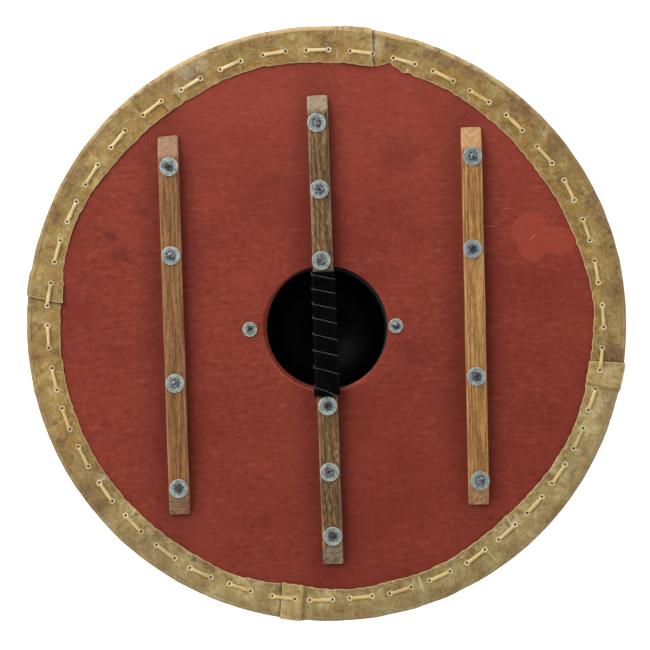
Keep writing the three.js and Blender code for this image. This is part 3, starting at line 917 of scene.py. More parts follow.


# %% [markdown]
# Dry rawhide is a horn-like, slightly glossy skin: cream where it is thick, amber where it is
# thin or was handled, brown and purplish where it was stained. It is paler along a cut, and
# each awl hole is a pale ring round a dot painted dark as the shade in the hole. The creases,
# the seams and the rolled edge get painted light and shade as well.


# %% Rawhide
HIDE_STAINS = [  # (x, y, size) in mm, how dark
    (-160, 322, 12, 0.55),
    (-171, 330, 10, 0.35),
    (-212, 316, 3, 0.8),
    (141, 339, 9, 0.6),
    (164, 333, 13, 0.5),
    (194, 314, 10, 0.4),
    (255, 266, 16, 0.4),
    (300, 218, 14, 0.5),
    (343, 144, 10, 0.5),
    (367, 34, 16, 0.35),
    # The one at (364, -52) darkens the under strip just past the seam on the right
    (364, -52, 14, 0.6),
    (-163, -302, 3, 0.7),
    (-178, -296, 3, 0.7),
    (-318, 188, 14, 0.35),
    (-312, -206, 40, 0.28),
    (-228, -296, 36, 0.28),
]
HIDE_SCUFFS = [  # (x, y, size) in mm, how pale
    (-181, 302, 5, 0.6),
    (-170, 326, 9, 0.5),
    (-148, 335, 7, 0.45),
    (74, 353, 6, 0.5),
    (78, 341, 4, 0.4),
    (285, 233, 5, 0.35),
    (357, -74, 10, 0.4),
    (231, -261, 5, 0.6),
    (219, -272, 6, 0.6),
    (211, -281, 5, 0.5),
    (-292, -188, 5, 0.4),
    (-234, -260, 5, 0.3),
    (111, -339, 4, 0.4),
]


def hide_patterns(hide):
    """Adds what the layers of the hide share: noises from clouds down to single fibres, and
    where on the shield a point is."""
    hide.cloud = hide.noise(0.05, detail=5, roughness=0.6, bend=0.5)
    hide.shade = hide.noise(0.04, detail=4, roughness=0.6, centre=(0, 0, 7))
    hide.patches = hide.noise(0.019, detail=5, roughness=0.62, bend=0.6, centre=(1, 0, 0))
    hide.mottle = hide.noise(0.0075, detail=5, roughness=0.68, bend=0.4)
    hide.fibre = hide.noise(0.0024, detail=4, roughness=0.7)
    where = hide.put("SeparateXYZ", {"0": hide.place}).outputs
    hide.up = where["Y"]
    hide.down = hide.blend((where["X"], 0.25), (where["Y"], -1.0))
    hide.lower = hide.mask(hide.down, 0.02, 0.25)
    hide.out = hide.mark("out")


def hide_body(hide):
    """The tan of the skin itself, warmer above and cooler below."""
    body = hide.blend(
        (hide.cloud, 0.4),
        (hide.patches, 0.32),
        (hide.mottle, 0.15),
        (hide.fibre, 0.13),
    )
    warm = hide.ramp(
        body,
        (0.41, tone(116, 85, 42)),
        (0.47, tone(148, 118, 60)),
        (0.53, tone(165, 136, 74)),
        (0.60, tone(194, 167, 106)),
    )
    cool = hide.ramp(
        body,
        (0.41, tone(122, 102, 58)),
        (0.47, tone(153, 132, 80)),
        (0.53, tone(171, 151, 98)),
        (0.60, tone(200, 183, 130)),
    )
    return hide.mix(hide.lower, warm, cool)


def hide_bands(hide, tan):
    """Tones that follow the rim: a shaded outer part, an amber inner one, dark and pale along
    the inner edge, grey and pale blotches, and a purplish brown band beyond the stitches."""
    shaded = hide.mask(hide.blend((hide.out, 0.35), (hide.shade, 1.0)), 0.72, 0.86)
    tan = hide.over(tan, shaded, 0.5, (136, 104, 62))
    amber = hide.noise(0.022, detail=4, roughness=0.6, bend=0.4, centre=(0, 2, 0))
    amber = hide.mask(hide.blend((hide.out, 0.35), (amber, 1.0)), 0.66, 0.54)
    tan = hide.over(tan, amber, hide.blend((hide.lower, -0.42), (1.0, 0.6)), (160, 114, 38))

    inner = hide.mask(hide.out, 0.5, 0.25)
    blotches = hide.noise(0.01, detail=5, roughness=0.68, bend=0.4, centre=(3, 3, 0))
    dark = hide.part(inner, hide.mask(blotches, 0.47, 0.6))
    tan = hide.over(tan, dark, 0.62, (112, 84, 36))
    pale = hide.part(inner, hide.mask(blotches, 0.47, 0.35))
    tan = hide.over(tan, pale, hide.blend((hide.lower, 0.45), (1.0, 0.2)), (204, 190, 144))
    grey = hide.noise(0.017, detail=5, roughness=0.68, centre=(0, 0, 3))
    tan = hide.over(tan, hide.mask(grey, 0.53, 0.66), 0.35, (154, 148, 104))
    scuffs = hide.noise(0.012, detail=5, roughness=0.72, bend=0.5, centre=(4, 0, 0))
    tan = hide.over(tan, hide.mask(scuffs, 0.6, 0.72), 0.5, (210, 200, 172))

    brown = hide.noise(0.014, detail=5, roughness=0.7, bend=0.5, centre=(0, 5, 0))
    band = hide.part(hide.mask(hide.out, 0.45, 0.66), hide.mask(hide.out, 0.98, 0.86))
    brown = hide.mask(hide.blend((band, 0.14), (brown, 1.0)), 0.655, 0.76)
    return hide.over(tan, brown, hide.blend((hide.lower, -0.3), (1.0, 0.64)), (112, 64, 46))


def hide_spots(hide, tan):
    """The stains and scuffs that are listed, each with a ragged outline."""
    for x, y, size, depth in HIDE_STAINS:
        stain = hide.spot(x, y, HIDE_BACK, size, size, 1.5, 0.009, soft=0.4)
        tan = hide.over(tan, stain, depth, (98, 58, 50))
    for x, y, size, strength in HIDE_SCUFFS:
        scuff = hide.spot(x, y, HIDE_BACK, size, size, 2.2, 0.004, soft=0.8)
        tan = hide.over(tan, scuff, strength, (196, 186, 156))
    return tan


def hide_fold(hide, tan):
    """The outer edge: a pale painted highlight near the top, brown painted shade round the fold,
    less at the top, and a fine line of painted shade where the flat of the back ends."""
    # Painted highlight: the outer edge is made pale near the top, where the light falls
    painted_lit_edge = hide.part(hide.mask(hide.out, 0.84, 0.9), hide.mask(hide.patches, 0.36, 0.54))
    painted_lit_edge = hide.part(painted_lit_edge, hide.mask(hide.up, 0.21, 0.34))
    tan = hide.over(tan, painted_lit_edge, 0.78, (218, 186, 132))
    upper = hide.mask(hide.up, 0.05, 0.3)
    # Painted shade: the fold is made brown and dark, less so at the top
    fold = hide.mask(hide.out, 0.94, 0.99)
    tan = hide.over(tan, fold, hide.blend((upper, -0.35), (1.0, 0.7)), (98, 80, 52))
    # Painted shade: a fine dark line where the rounding of the edge begins
    line = hide.part(hide.mask(hide.out, 0.845, 0.865), hide.mask(hide.out, 0.89, 0.875))
    line = hide.part(line, hide.mask(hide.cloud, 0.42, 0.58))
    return hide.over(tan, line, 0.45, (96, 72, 44))


def hide_cuts(hide, tan):
    """Fibres and specks, then pale cut edges, and the seams: pale where the hide is doubled, with
    painted shade on the step down and a painted shadow in the corner beside it."""
    fibres = hide.ramp(hide.fibre, (0.4, tone(92, 68, 36)), (0.6, tone(222, 202, 156)))
    tan = hide.mix(0.12, tan, fibres)
    specks = hide.mask(hide.noise(0.005, detail=3, roughness=0.75), 0.66, 0.74)
    tan = hide.over(tan, specks, 0.35, (88, 62, 38))
    tan = hide.over(tan, hide.mask(hide.mark("cut"), 1.5, 0.4), 0.5, (216, 194, 146))
    tan = hide.over(tan, hide.mask(hide.mark("seam"), 1.6, 0.5), 0.6, (206, 184, 140))

    lapped = hide.mark("lapped")
    shows = hide.blend((hide.mask(hide.down, -0.08, 0.12), 0.8), (1.0, 0.2))
    doubled = hide.part(hide.mask(lapped, 0.7, 0.98), hide.mask(hide.mottle, 0.3, 0.62))
    tan = hide.over(tan, hide.part(doubled, shows), 0.55, (210, 182, 118))
    # Painted shade on the step down from the doubled hide
    step = hide.part(hide.mask(lapped, 0.05, 0.4), hide.mask(lapped, 0.95, 0.55))
    step = hide.part(step, hide.part(shows, 0.6))
    tan = hide.over(tan, step, hide.mask(hide.patches, 0.35, 0.55), (104, 72, 40))
    # Painted shadow on the under strip, beside the end of the strip that lies over it
    beside = hide.blend((hide.mark("beside"), 1.0), (hide.mottle, 5.0))
    return hide.over(tan, hide.mask(beside, 8.0, 2.5), 0.6, (78, 54, 34))


def hide_holes(hide, tan):
    """Creases painted dark as shade, pale ridges, and each awl hole: a pale ring, cleaner in some
    places than in others, round a dot painted dark as the shade in the hole."""
    crease = hide.mark("crease")
    # Painted shade: the creases are made dark, and by the notch they paint the shadow under the
    # curled hide
    tan = hide.over(tan, hide.mask(crease, 0.2, 0.8), 0.75, (72, 50, 34))
    tan = hide.over(tan, hide.mask(crease, -0.08, -0.42), 0.72, (212, 202, 164))
    hole = hide.mark("hole")
    clean = hide.blend((hide.mask(hide.shade, 0.58, 0.42), 0.42), (1.0, 0.52))
    ragged = hide.blend((hole, 1.0), (hide.mottle, 2.4), (hide.fibre, 1.2))
    tan = hide.over(tan, hide.mask(ragged, 5.8, 4.9), clean, (228, 212, 172))
    # Painted shade: a dark dot for the depth of the awl hole
    return hide.mix(hide.mask(hole, 1.95, 1.35), tan, tone(20, 13, 8))


def rawhide():
    """Dry rawhide, painted layer by layer: the skin's tan, its bands and spots, the fold, the
    cuts and seams, and the holes."""
    hide = Finish("rawhide", Roughness=0.55, Specular_IOR_Level=0.25)
    hide_patterns(hide)
    tan = hide_body(hide)
    for layer in (hide_bands, hide_spots, hide_fold, hide_cuts, hide_holes):
        tan = layer(hide, tan)
    hide.colour(tan)
    hide.dull(hide.ramp(hide.mottle, (0.3, 0.45), (0.7, 0.65)))
    hide.relief(hide.fibre, 0.3 * MM)
    hide.relief(hide.mottle, 0.6 * MM)
    return hide.material


# %% Strips
rawhide_finish = rawhide()
for name in STRIPS:
    strip_piece = make_sheet(name, *strip_surface(name), rawhide_finish, "rawhide")
    print(name, len(strip_piece.data.polygons), "faces")

# %% [markdown]
# ## The lacing
#
# One waxed cord runs round the whole rim: along the back from hole to hole, down through hide
# and board, along the front and up again. Its route is the chain of its corners, rounded by a
# moving average as a stiff cord rounds its bends. A twisted cord's section has three lobes
# that turn as they go, and gives the slanting strokes of its strands.


# %% Route of the cord
def lace_corners():
    """The cord's corners: for each hole in turn its points in front and behind, in the order
    in which the cord passes them, with a loose tail at either end in front."""
    inset = along_rim(2.1 * MM) * np.tile([1, -1], len(middles))
    angle = hole_angles + inset
    lifted = np.zeros(angle.shape, bool)
    for strip in STRIPS.values():
        for end, lap in zip(strip["ends"], strip["laps"]):
            lifted |= (lap > 0) & (np.abs(apart(angle, end)) < lap + 0.5)
    stitch_lifted = lifted.reshape(-1, 2).any(1).repeat(2)
    run_lifted = np.roll(np.roll(lifted, -1).reshape(-1, 2).any(1).repeat(2), 1)
    behind = HIDE_BACK + 0.4 * CORD_HEIGHT + stitch_lifted * LIFT
    before = HIDE_FRONT - 0.4 * CORD_HEIGHT - run_lifted * LIFT
    forward = np.stack([polar(np.radians(angle), hole_radii, z) for z in (before, behind)], 1)
    forward[1::2] = forward[1::2, ::-1]
    tail = along_rim(11 * MM)
    first = polar(np.radians(angle[0] - tail), hole_radii[0] + 3 * MM, before[0])
    last = polar(np.radians(angle[-1] + tail), hole_radii[-1] - 3 * MM, before[-1])
    return np.concatenate([[first], forward.reshape(-1, 3), [last]])


def rounded_route(corners, step=0.8 * MM, reach=1.5 * MM):
    """Points `step` apart along the chain of corners, after a Gaussian average that spreads
    by `reach` along it has rounded the corners."""
    length = np.insert(np.cumsum(np.linalg.norm(np.diff(corners, axis=0), axis=1)), 0, 0)
    fine = np.arange(0, length[-1], step / 2)
    dense = np.stack([np.interp(fine, length, axis) for axis in corners.T], -1)
    aside = 12  # points averaged on either side
    offsets = np.arange(-aside, aside + 1) * step / 2
    weights = np.exp(-0.5 * (offsets / reach) ** 2)
    weights /= weights.sum()
    padded = np.concatenate([dense[:1].repeat(aside, 0), dense, dense[-1:].repeat(aside, 0)])
    route = np.stack([np.convolve(axis, weights, "valid") for axis in padded.T], -1)
    length = np.insert(np.cumsum(np.linalg.norm(np.diff(route, axis=0), axis=1)), 0, 0)
    even = np.linspace(0, length[-1], round(length[-1] / step))
    return np.stack([np.interp(even, length, axis) for axis in route.T], -1), even


# %% Cord
PLY_PITCH = 7 * MM  # length in which a strand goes once round the cord
CORD_SIDES = 12

route, run = rounded_route(lace_corners())
tangent = np.gradient(route, axis=0)
tangent /= np.linalg.norm(tangent, axis=1)[:, None]
outward = np.stack([route[:, 0], route[:, 1], 0 * run], -1)
outward -= (outward * tangent).sum(1)[:, None] * tangent
outward /= np.linalg.norm(outward, axis=1)[:, None]
sideways = np.cross(tangent, outward)
turn = np.linspace(0, 2 * math.pi, CORD_SIDES, endpoint=False)
strand = np.abs(np.cos(1.5 * (turn - 2 * math.pi * run[:, None] / PLY_PITCH)))
reach = (0.84 + 0.16 * strand) * (1 + wander(run[:, None] * 8, 3, 0.05, [11, 23, 41]))
across = CORD / 2 * np.cos(turn)[:, None] * outward[:, None]
upward = CORD_HEIGHT / 2 * np.sin(turn)[:, None] * sideways[:, None]
cord_points = route[:, None] + reach[..., None] * (across + upward)
print(f"cord {run[-1]:.2f} m long")


def lacing_cord():
    """Waxed cord: straw yellow on the strands, with painted shade between them, and in places
    soiled.
    """
    cord = Finish("lacing_cord", Roughness=0.6, Specular_IOR_Level=0.25)
    # Painted shade: darker where the strands dip between their lobes
    strands = cord.ramp(cord.mark("strand"), (0.1, tone(166, 126, 66)), (0.6, tone(229, 204, 141)))
    soil = cord.mask(cord.noise(0.03, detail=3, roughness=0.6), 0.45, 0.62)
    colour = cord.over(strands, soil, 0.6, (196, 154, 78))
    where = cord.put("SeparateXYZ", {"0": cord.place}).outputs
    # Paler toward the upper left of the shield
    paler_up_left = cord.mask(cord.blend((where["X"], -0.6), (where["Y"], 1.0)), 0.15, 0.42)
    colour = cord.over(colour, paler_up_left, 0.4, (252, 236, 186))
    dusty = cord.mask(cord.noise(0.05, detail=2, centre=(0, 0, 5)), 0.52, 0.66)
    colour = cord.over(colour, dusty, 0.5, (176, 166, 132))
    cord.colour(colour)
    cord.relief(cord.noise(0.0007), 0.2 * MM)
    return cord.material


cord_piece = make_piece(
    "rim_lacing",
    cord_points,
    tube_faces(*cord_points.shape[:2]),
    lacing_cord(),
    {"strand": strand},
    sharp=80,
)
print("lacing", len(cord_piece.data.polygons), "faces")

# %% [markdown]
# ## The boss
#
# The boss is spun from sheet steel and painted glossy black. It is a profile turned about its
# axis: an elliptic dome with a small flat crown, a short neck, and a flange against the board.
# The profile goes out along the face and back inside, a sheet's thickness away, so the bowl
# has real walls. Its corners are rounded as a spinning tool leaves them.


# %% Turned pieces
def turned(profile, centre, sides):
    """The profile, rows of (radius, height), turned about a vertical axis at `centre`."""
    angle = np.linspace(0, 2 * math.pi, sides, endpoint=False)
    radius, height = profile[:, :1], profile[:, 1:]
    return polar(angle, radius, height) + np.array([centre[0], centre[1], 0])


def arc(centre, radius, start, end, count=6):
    """Points on an arc from angle `start` to `end` in degrees, as rows of (radius, height)."""
    angle = np.radians(np.linspace(start, end, count))
    return np.stack([centre[0] + radius * np.cos(angle), centre[1] + radius * np.sin(angle)], -1)


# %% Boss
SHEET = 1.6 * MM
MOUTH = 77 * MM  # inside radius
NECK = 8 * MM
CROWN_FLAT = 18 * MM  # radius
MOUTH_ROUND = 2.5 * MM
boss_centre = ((BOSS_LOW.x + BOSS_HIGH.x) / 2, (BOSS_LOW.y + BOSS_HIGH.y) / 2)
flange_radius = (BOSS_HIGH.x - BOSS_LOW.x) / 2


def dome(radius, crown, count=40):
    """Rows of (radius, height) from the edge of the crown's flat to the top of an ellipse of
    half width `radius`, whose flat lies at height `crown`."""
    flat = CROWN_FLAT / radius
    top = BOSS_HIGH.z - NECK
    depth = (top - crown) / math.sqrt(1 - flat * flat)
    angle = np.linspace(math.asin(flat), math.pi / 2, count)
    return np.stack([radius * np.sin(angle), top - depth * np.cos(angle)], -1)


def boss_profile():
    """From the crown out along the face, round the flange, and back inside to the crown."""
    top, edge = BOSS_HIGH.z, flange_radius
    pole = 0.4 * MM
    flats = np.linspace(pole, CROWN_FLAT, 6)[:-1]
    corner = (MOUTH + SHEET + MOUTH_ROUND, top - SHEET - MOUTH_ROUND)
    rows = [
        np.stack([flats, 0 * flats], -1),
        dome(MOUTH + SHEET, 0),
        arc(corner, MOUTH_ROUND, 180, 90),
        np.array([[0.5 * (MOUTH + edge), top - SHEET]]),
        arc((edge - SHEET / 2, top - SHEET / 2), SHEET / 2, -90, 90),
        np.array([[0.5 * (MOUTH + edge), top]]),
        arc(corner, MOUTH_ROUND + SHEET, 90, 180),
        dome(MOUTH, SHEET)[::-1],
        np.stack([flats[::-1], SHEET + 0 * flats], -1),
    ]
    return np.concatenate(rows)


def boss_black():
    """Gloss black over steel: slightly uneven, with a little dust, and a painted highlight on the
    flange.
    """
    black = Finish("boss_black", Specular_IOR_Level=0.05)
    dust = black.noise(0.03, detail=5, roughness=0.65)
    colour = black.ramp(dust, (0.35, tone(2, 2, 3)), (0.7, tone(6, 6, 8)))
    specks = black.mask(black.noise(0.0016, detail=2), 0.72, 0.76)
    colour = black.over(colour, specks, 0.5, (46, 48, 50))
    height = black.put("SeparateXYZ", {"0": black.place}).outputs["Z"]
    # Painted highlight: the flat flange is made grey, for the light that falls on it
    flange = black.mask(height, BOSS_HIGH.z - 3 * MM, BOSS_HIGH.z - 1 * MM)
    black.colour(black.over(colour, flange, 0.8, (36, 42, 46)))
    black.dull(black.ramp(dust, (0.35, 0.36), (0.7, 0.48)))
    black.relief(black.noise(0.012, detail=3), 0.4 * MM)
    return black.material


boss_points = turned(boss_profile(), boss_centre, 144)
boss_faces = tube_faces(*boss_points.shape[:2])
make_piece("boss", boss_points, boss_faces, boss_black(), sharp=50)
print("boss", boss_points.shape[:2], "rows and columns")

# %% [markdown]
# ## The battens
#
# Each batten is a planed bar, with its long upper edges softened and its ends bevelled. It is
# a rounded rectangle carried along: every point of such a section is a sum of the bar's half
# width, its height and its corner radii, each times a factor, so one table of factors serves
# all sections. Height and width then vary with the distance from the nearer end.


# %% Rounded rectangle
def section_factors(corner=6, upper=14, side=5, lower=8):
    """Factors of a rounded rectangle, which stands on its lower side: columns run from the
    middle of that side to the right, up, back over the top and down again. A point's x is
    x_half * half width + x_top * top radius + x_foot * foot radius, and its z is z_height *
    height + z_top * top radius + z_foot * foot radius."""

    def bend(start, sign, top):
        """A quarter circle's factors, on the top or the foot radius."""
        a = np.radians(np.linspace(start, start + 90, corner))
        zero, one = 0 * a, 0 * a + 1
        x, z = np.cos(a) - sign, np.sin(a) + (-1 if top else 1)
        if top:
            return np.stack([sign * one, x, zero, one, z, zero])
        return np.stack([sign * one, zero, x, zero, zero, z])

    corners = [bend(-90, 1, False), bend(0, 1, True), bend(90, -1, True), bend(180, -1, False)]
    flats = []
    for before, after, count in zip(corners, corners[1:] + corners[:1], (side, upper, side, lower)):
        share = np.linspace(0, 1, count + 2)[1:-1]
        flats.append(before[:, -1:] * (1 - share) + after[:, :1] * share)
    return np.concatenate([part for pair in zip(corners, flats) for part in pair], 1)


def section(factors, half, height, top, foot):
    """x and z of a rounded rectangle's points, one row for each value of half and height."""
    x = factors[0] * half + factors[1] * top + factors[2] * foot
    z = factors[3] * height + factors[4] * top + factors[5] * foot
    return x, z


# %% Battens
BATTEN_HALF = 13 * MM
BATTEN_HEIGHT = BATTEN_TOP - BATTEN_FOOT
TIP_HEIGHT = 4 * MM
TIP_ROUND = 2.4 * MM  # corners of the ends, seen from above
TOP_ROUND, FOOT_ROUND = 2.4 * MM, 0.5 * MM  # the long edges above and below
# Where the middle of each end is and how long the bevels are, in mm, and how far the ends'
# cuts lean from square, as slopes
BATTENS = {
    "left": {
        "top": (-194.5, 244),
        "foot": (-193.5, -237.5),
        "bevels": (27, 25),
        "skews": (-0.07, 0),
    },
    "centre": {
        "top": (-3, 290),
        "foot": (-0.5, -306.5),
        "bevels": (20, 22),
        "skews": (-0.02, 0.01),
    },
    "right": {
        "top": (191.5, 243.5),
        "foot": (187, -236.5),
        "bevels": (27, 25),
        "skews": (0, 0),
    },
}


def batten_surface(side, seed):
    """A batten's skin: rounded rectangles across it, whose height falls along a bevel to the
    tip's and whose width is rounded off at the tip by a quarter circle."""
    top, foot = (np.array(BATTENS[side][key]) * MM for key in ("top", "foot"))
    length = np.linalg.norm(foot - top)
    ends = 0.05 * MM + np.geomspace(0.15 * MM, 30 * MM, 26)
    middle = np.linspace(32 * MM, length - 32 * MM, round(length / (2.5 * MM)))
    distance = np.concatenate([[0], ends, middle, (length - ends)[::-1], [length]])[:, None]
    from_end = np.minimum(distance, length - distance)
    bevel = np.where(distance < length / 2, *(b * MM for b in BATTENS[side]["bevels"]))
    slope = (BATTEN_HEIGHT - TIP_HEIGHT) / bevel
    ramp, soft = TIP_HEIGHT + slope * from_end, 0.5 * MM
    height = 0.5 * (ramp + BATTEN_HEIGHT - np.sqrt((ramp - BATTEN_HEIGHT) ** 2 + soft**2))
    tip = np.clip(TIP_ROUND - from_end, 0, TIP_ROUND)
    half = BATTEN_HALF - TIP_ROUND + np.sqrt(TIP_ROUND**2 - tip**2)
    edge = np.clip(from_end / (0.6 * MM), 0, 1)
    height = height - 0.5 * MM * (1 - edge) ** 2
    x, z = section(section_factors(), half, height, TOP_ROUND, FOOT_ROUND)
    y = 0 * x + distance
    upper = z / BATTEN_HEIGHT
    x = x + rumple(y, 0 * y, seed, 0.12 * MM, 90 * MM) * edge
    z = z - np.abs(rumple(x, y * 0.4, seed + 1, 0.1 * MM, 14 * MM)) * upper * edge
    skew = np.where(distance < length / 2, *BATTENS[side]["skews"]) * np.exp(-from_end / (12 * MM))
    y = y + skew * x
    along = (foot - top) / length
    place_x = top[0] + along[0] * y - along[1] * x
    place_y = top[1] + along[1] * y + along[0] * x
    worn = np.broadcast_to(np.clip(np.abs(x) / BATTEN_HALF, 0, 1), x.shape) * upper
    cut = 1 - smooth((from_end - bevel + 1 * MM) / (1.5 * MM)) + 0 * x
    marks = {"worn": worn, "bevel": cut, "foot": cut * (distance > length / 2)}
    return np.stack([place_x, place_y, BATTEN_FOOT + z], -1), marks


# %% [markdown]
# The wood is sawn along the grain. Its top shows long streaks, faint growth rings and short
# dashes that slant both ways, as fibres do that wind round the trunk. A bevel cuts across
# them and shows end grain. The patterns are noise drawn out along the bar and rings about a
# long axis below it. They fill the bar in depth, so that every face shows its own cut. The
# softened edges are paler, as worn finish and as a painted highlight, and the bevels of the
# lower ends get painted shade.


# %% Wood
RING_PITCH = 2.6 * MM  # from one growth ring to the next


def wood(name, seed, dark, middle, light, edge, slant, dashes, rings, warmth, lean, axis):
    """Solid wood in the tones dark, middle and light, with its worn edges and their painted
    highlight in `edge`.

    It has streaks along the grain, dashes of weight `dashes` that cross them at plus and minus
    `slant` radians, and growth rings about an axis along Y at `axis` (x, z in mm), which show
    on the bevels as far as `rings` says, beside end grain that leans by `lean` radians. Where
    it is redder, it is so as far as `warmth` says."""
    bar = Finish(name, Roughness=0.5, Specular_IOR_Level=0.25)
    place = (0, seed * 1.7, 0)
    bent = bar.noise((0.03, 0.22, 0.03), detail=3, roughness=0.55, centre=place)
    long = bar.mapped((1, 26, 1), centre=(axis[0] * MM, 0, axis[1] * MM), turn=0.012)
    away = bar.put("VectorMath", {"0": long}, operation="LENGTH").outputs["Value"]
    shifted = bar.calc("ADD", away, bar.part(bent, 0.012))
    ring = bar.mask(bar.calc("SINE", bar.part(shifted, 2 * math.pi / RING_PITCH)), -1.0, 1.3)
    streak = bar.noise((0.0015, 0.07, 0.002), detail=3, roughness=0.6, bend=0.1, centre=place)
    dash = (0.0017, 0.009, 0.002)
    left = bar.noise(dash, detail=2, roughness=0.55, turn=slant, centre=place)
    right = bar.noise(dash, detail=2, roughness=0.55, turn=-slant)
    body = bar.blend((ring, 0.1), (streak, 0.9 - 2 * dashes), (left, dashes), (right, dashes))
    colour = bar.ramp(body, (0.38, tone(*dark)), (0.49, tone(*middle)), (0.62, tone(*light)))
    tint = bar.noise((0.022, 0.1, 0.02), detail=3, roughness=0.5, centre=place)
    colour = bar.over(colour, bar.mask(tint, 0.48, 0.68), 0.32, dark)
    warm = bar.noise((0.009, 0.05, 0.01), detail=3, roughness=0.6, centre=(1, seed, 0))
    colour = bar.over(colour, bar.mask(warm, 0.5, 0.68), warmth, (196, 116, 62))
    pores = bar.noise((0.0011, 0.007, 0.001), detail=2, roughness=0.6, centre=place)
    pores = bar.mask(pores, 0.59, 0.68)
    colour = bar.over(colour, pores, 0.5, (62, 40, 24))
    # Paler along the softened long edges: worn finish, and a painted highlight where they catch the
    # light
    worn = bar.blend((bar.mark("worn"), 1.0), (streak, 0.3))
    colour = bar.over(colour, bar.mask(worn, 0.95, 1.12), 0.4, edge)

    grain = (0.009, 0.0022, 0.008)
    grain = bar.noise(grain, detail=5, roughness=0.7, bend=0.8, turn=lean, centre=place)
    across = bar.blend((grain, 0.8), (ring, rings), (0.05 - 0.45 * rings, 1.0))
    shade, shine = ([min(255, level * share) for level in edge] for share in (0.8, 1.08))
    cut = bar.ramp(across, (0.35, tone(*shade)), (0.45, tone(*edge)), (0.56, tone(*shine)))
    colour = bar.mix(bar.part(bar.mark("bevel"), 0.75), colour, cut)
    # Painted shade: the bevels at the lower ends are made darker, as they face away from the light
    foot_shade = bar.blend((bar.mask(grain, 0.62, 0.36), 0.4), (1.0, 0.28))
    shade_tone = [level * share for level, share in zip(dark, (0.82, 0.6, 0.24))]
    bar.colour(bar.over(colour, bar.mark("foot"), foot_shade, shade_tone))
    bar.relief(streak, 0.4 * MM)
    bar.relief(pores, -0.2 * MM)
    return bar.material


WOODS = {
    "left": {
        "dark": (100, 66, 36),
        "middle": (135, 93, 55),
        "light": (166, 125, 82),
        "edge": (174, 138, 108),
        "slant": 0.08,
        "dashes": 0.2,
        "rings": 0.03,
        "warmth": 0.14,
        "lean": 0.1,
        "axis": (-202.5, 63),
    },
    "centre": {
        "dark": (72, 52, 31),
        "middle": (110, 84, 53),
        "light": (158, 128, 86),
        "edge": (176, 157, 130),
        "slant": 0.22,
        "dashes": 0.4,
        "rings": 0.02,
        "warmth": 0.12,
        "lean": 0.5,
        "axis": (11, 55),
    },
    "right": {
        "dark": (128, 85, 42),
        "middle": (160, 115, 64),
        "light": (200, 154, 96),
        "edge": (208, 165, 118),
        "slant": 0.04,
        "dashes": 0.2,
        "rings": 0.05,
        "warmth": 0.2,
        "lean": 0.85,
        "axis": (195.5, 69),
    },
}
for number, side in enumerate(WOODS):
    slot = f"batten_wood_{side}"
    finish = wood(slot, number, **WOODS[side])
    points, marks = batten_surface(side, seed=20 + number)
    faces = tube_faces(*points.shape[:2])
    make_piece(f"batten_{side}", points, faces, finish, marks, sharp=40)
    print(f"batten_{side}", points.shape[:2], "rows and columns")

# %% [markdown]
# ## The leather on the grip
#
# A black leather strap is wound round the middle batten in a close spiral. Each turn's upper
# edge lies over the turn before, so the strap is modelled as one long ribbon: its rows go
# round and round a rounded rectangle, and it stands off where it lies on the previous turn.


# %% Wound strap
WRAP_TOP, WRAP_FOOT = 66.5 * MM, -92.8 * MM
STRAP = 25 * MM  # width
STRAP_THICKNESS = 1.2 * MM
STRAP_TURNS = 8.9
BOARD_FROM = -79 * MM  # below this y the strap lies pressed between batten and board
# Place of the strap's upper edge along the middle of the batten, in mm, turn after turn
TURN_EDGES = [78, 58.6, 41.5, 21.8, 3.9, -17.4, -37.7, -59.7, -87, -128]


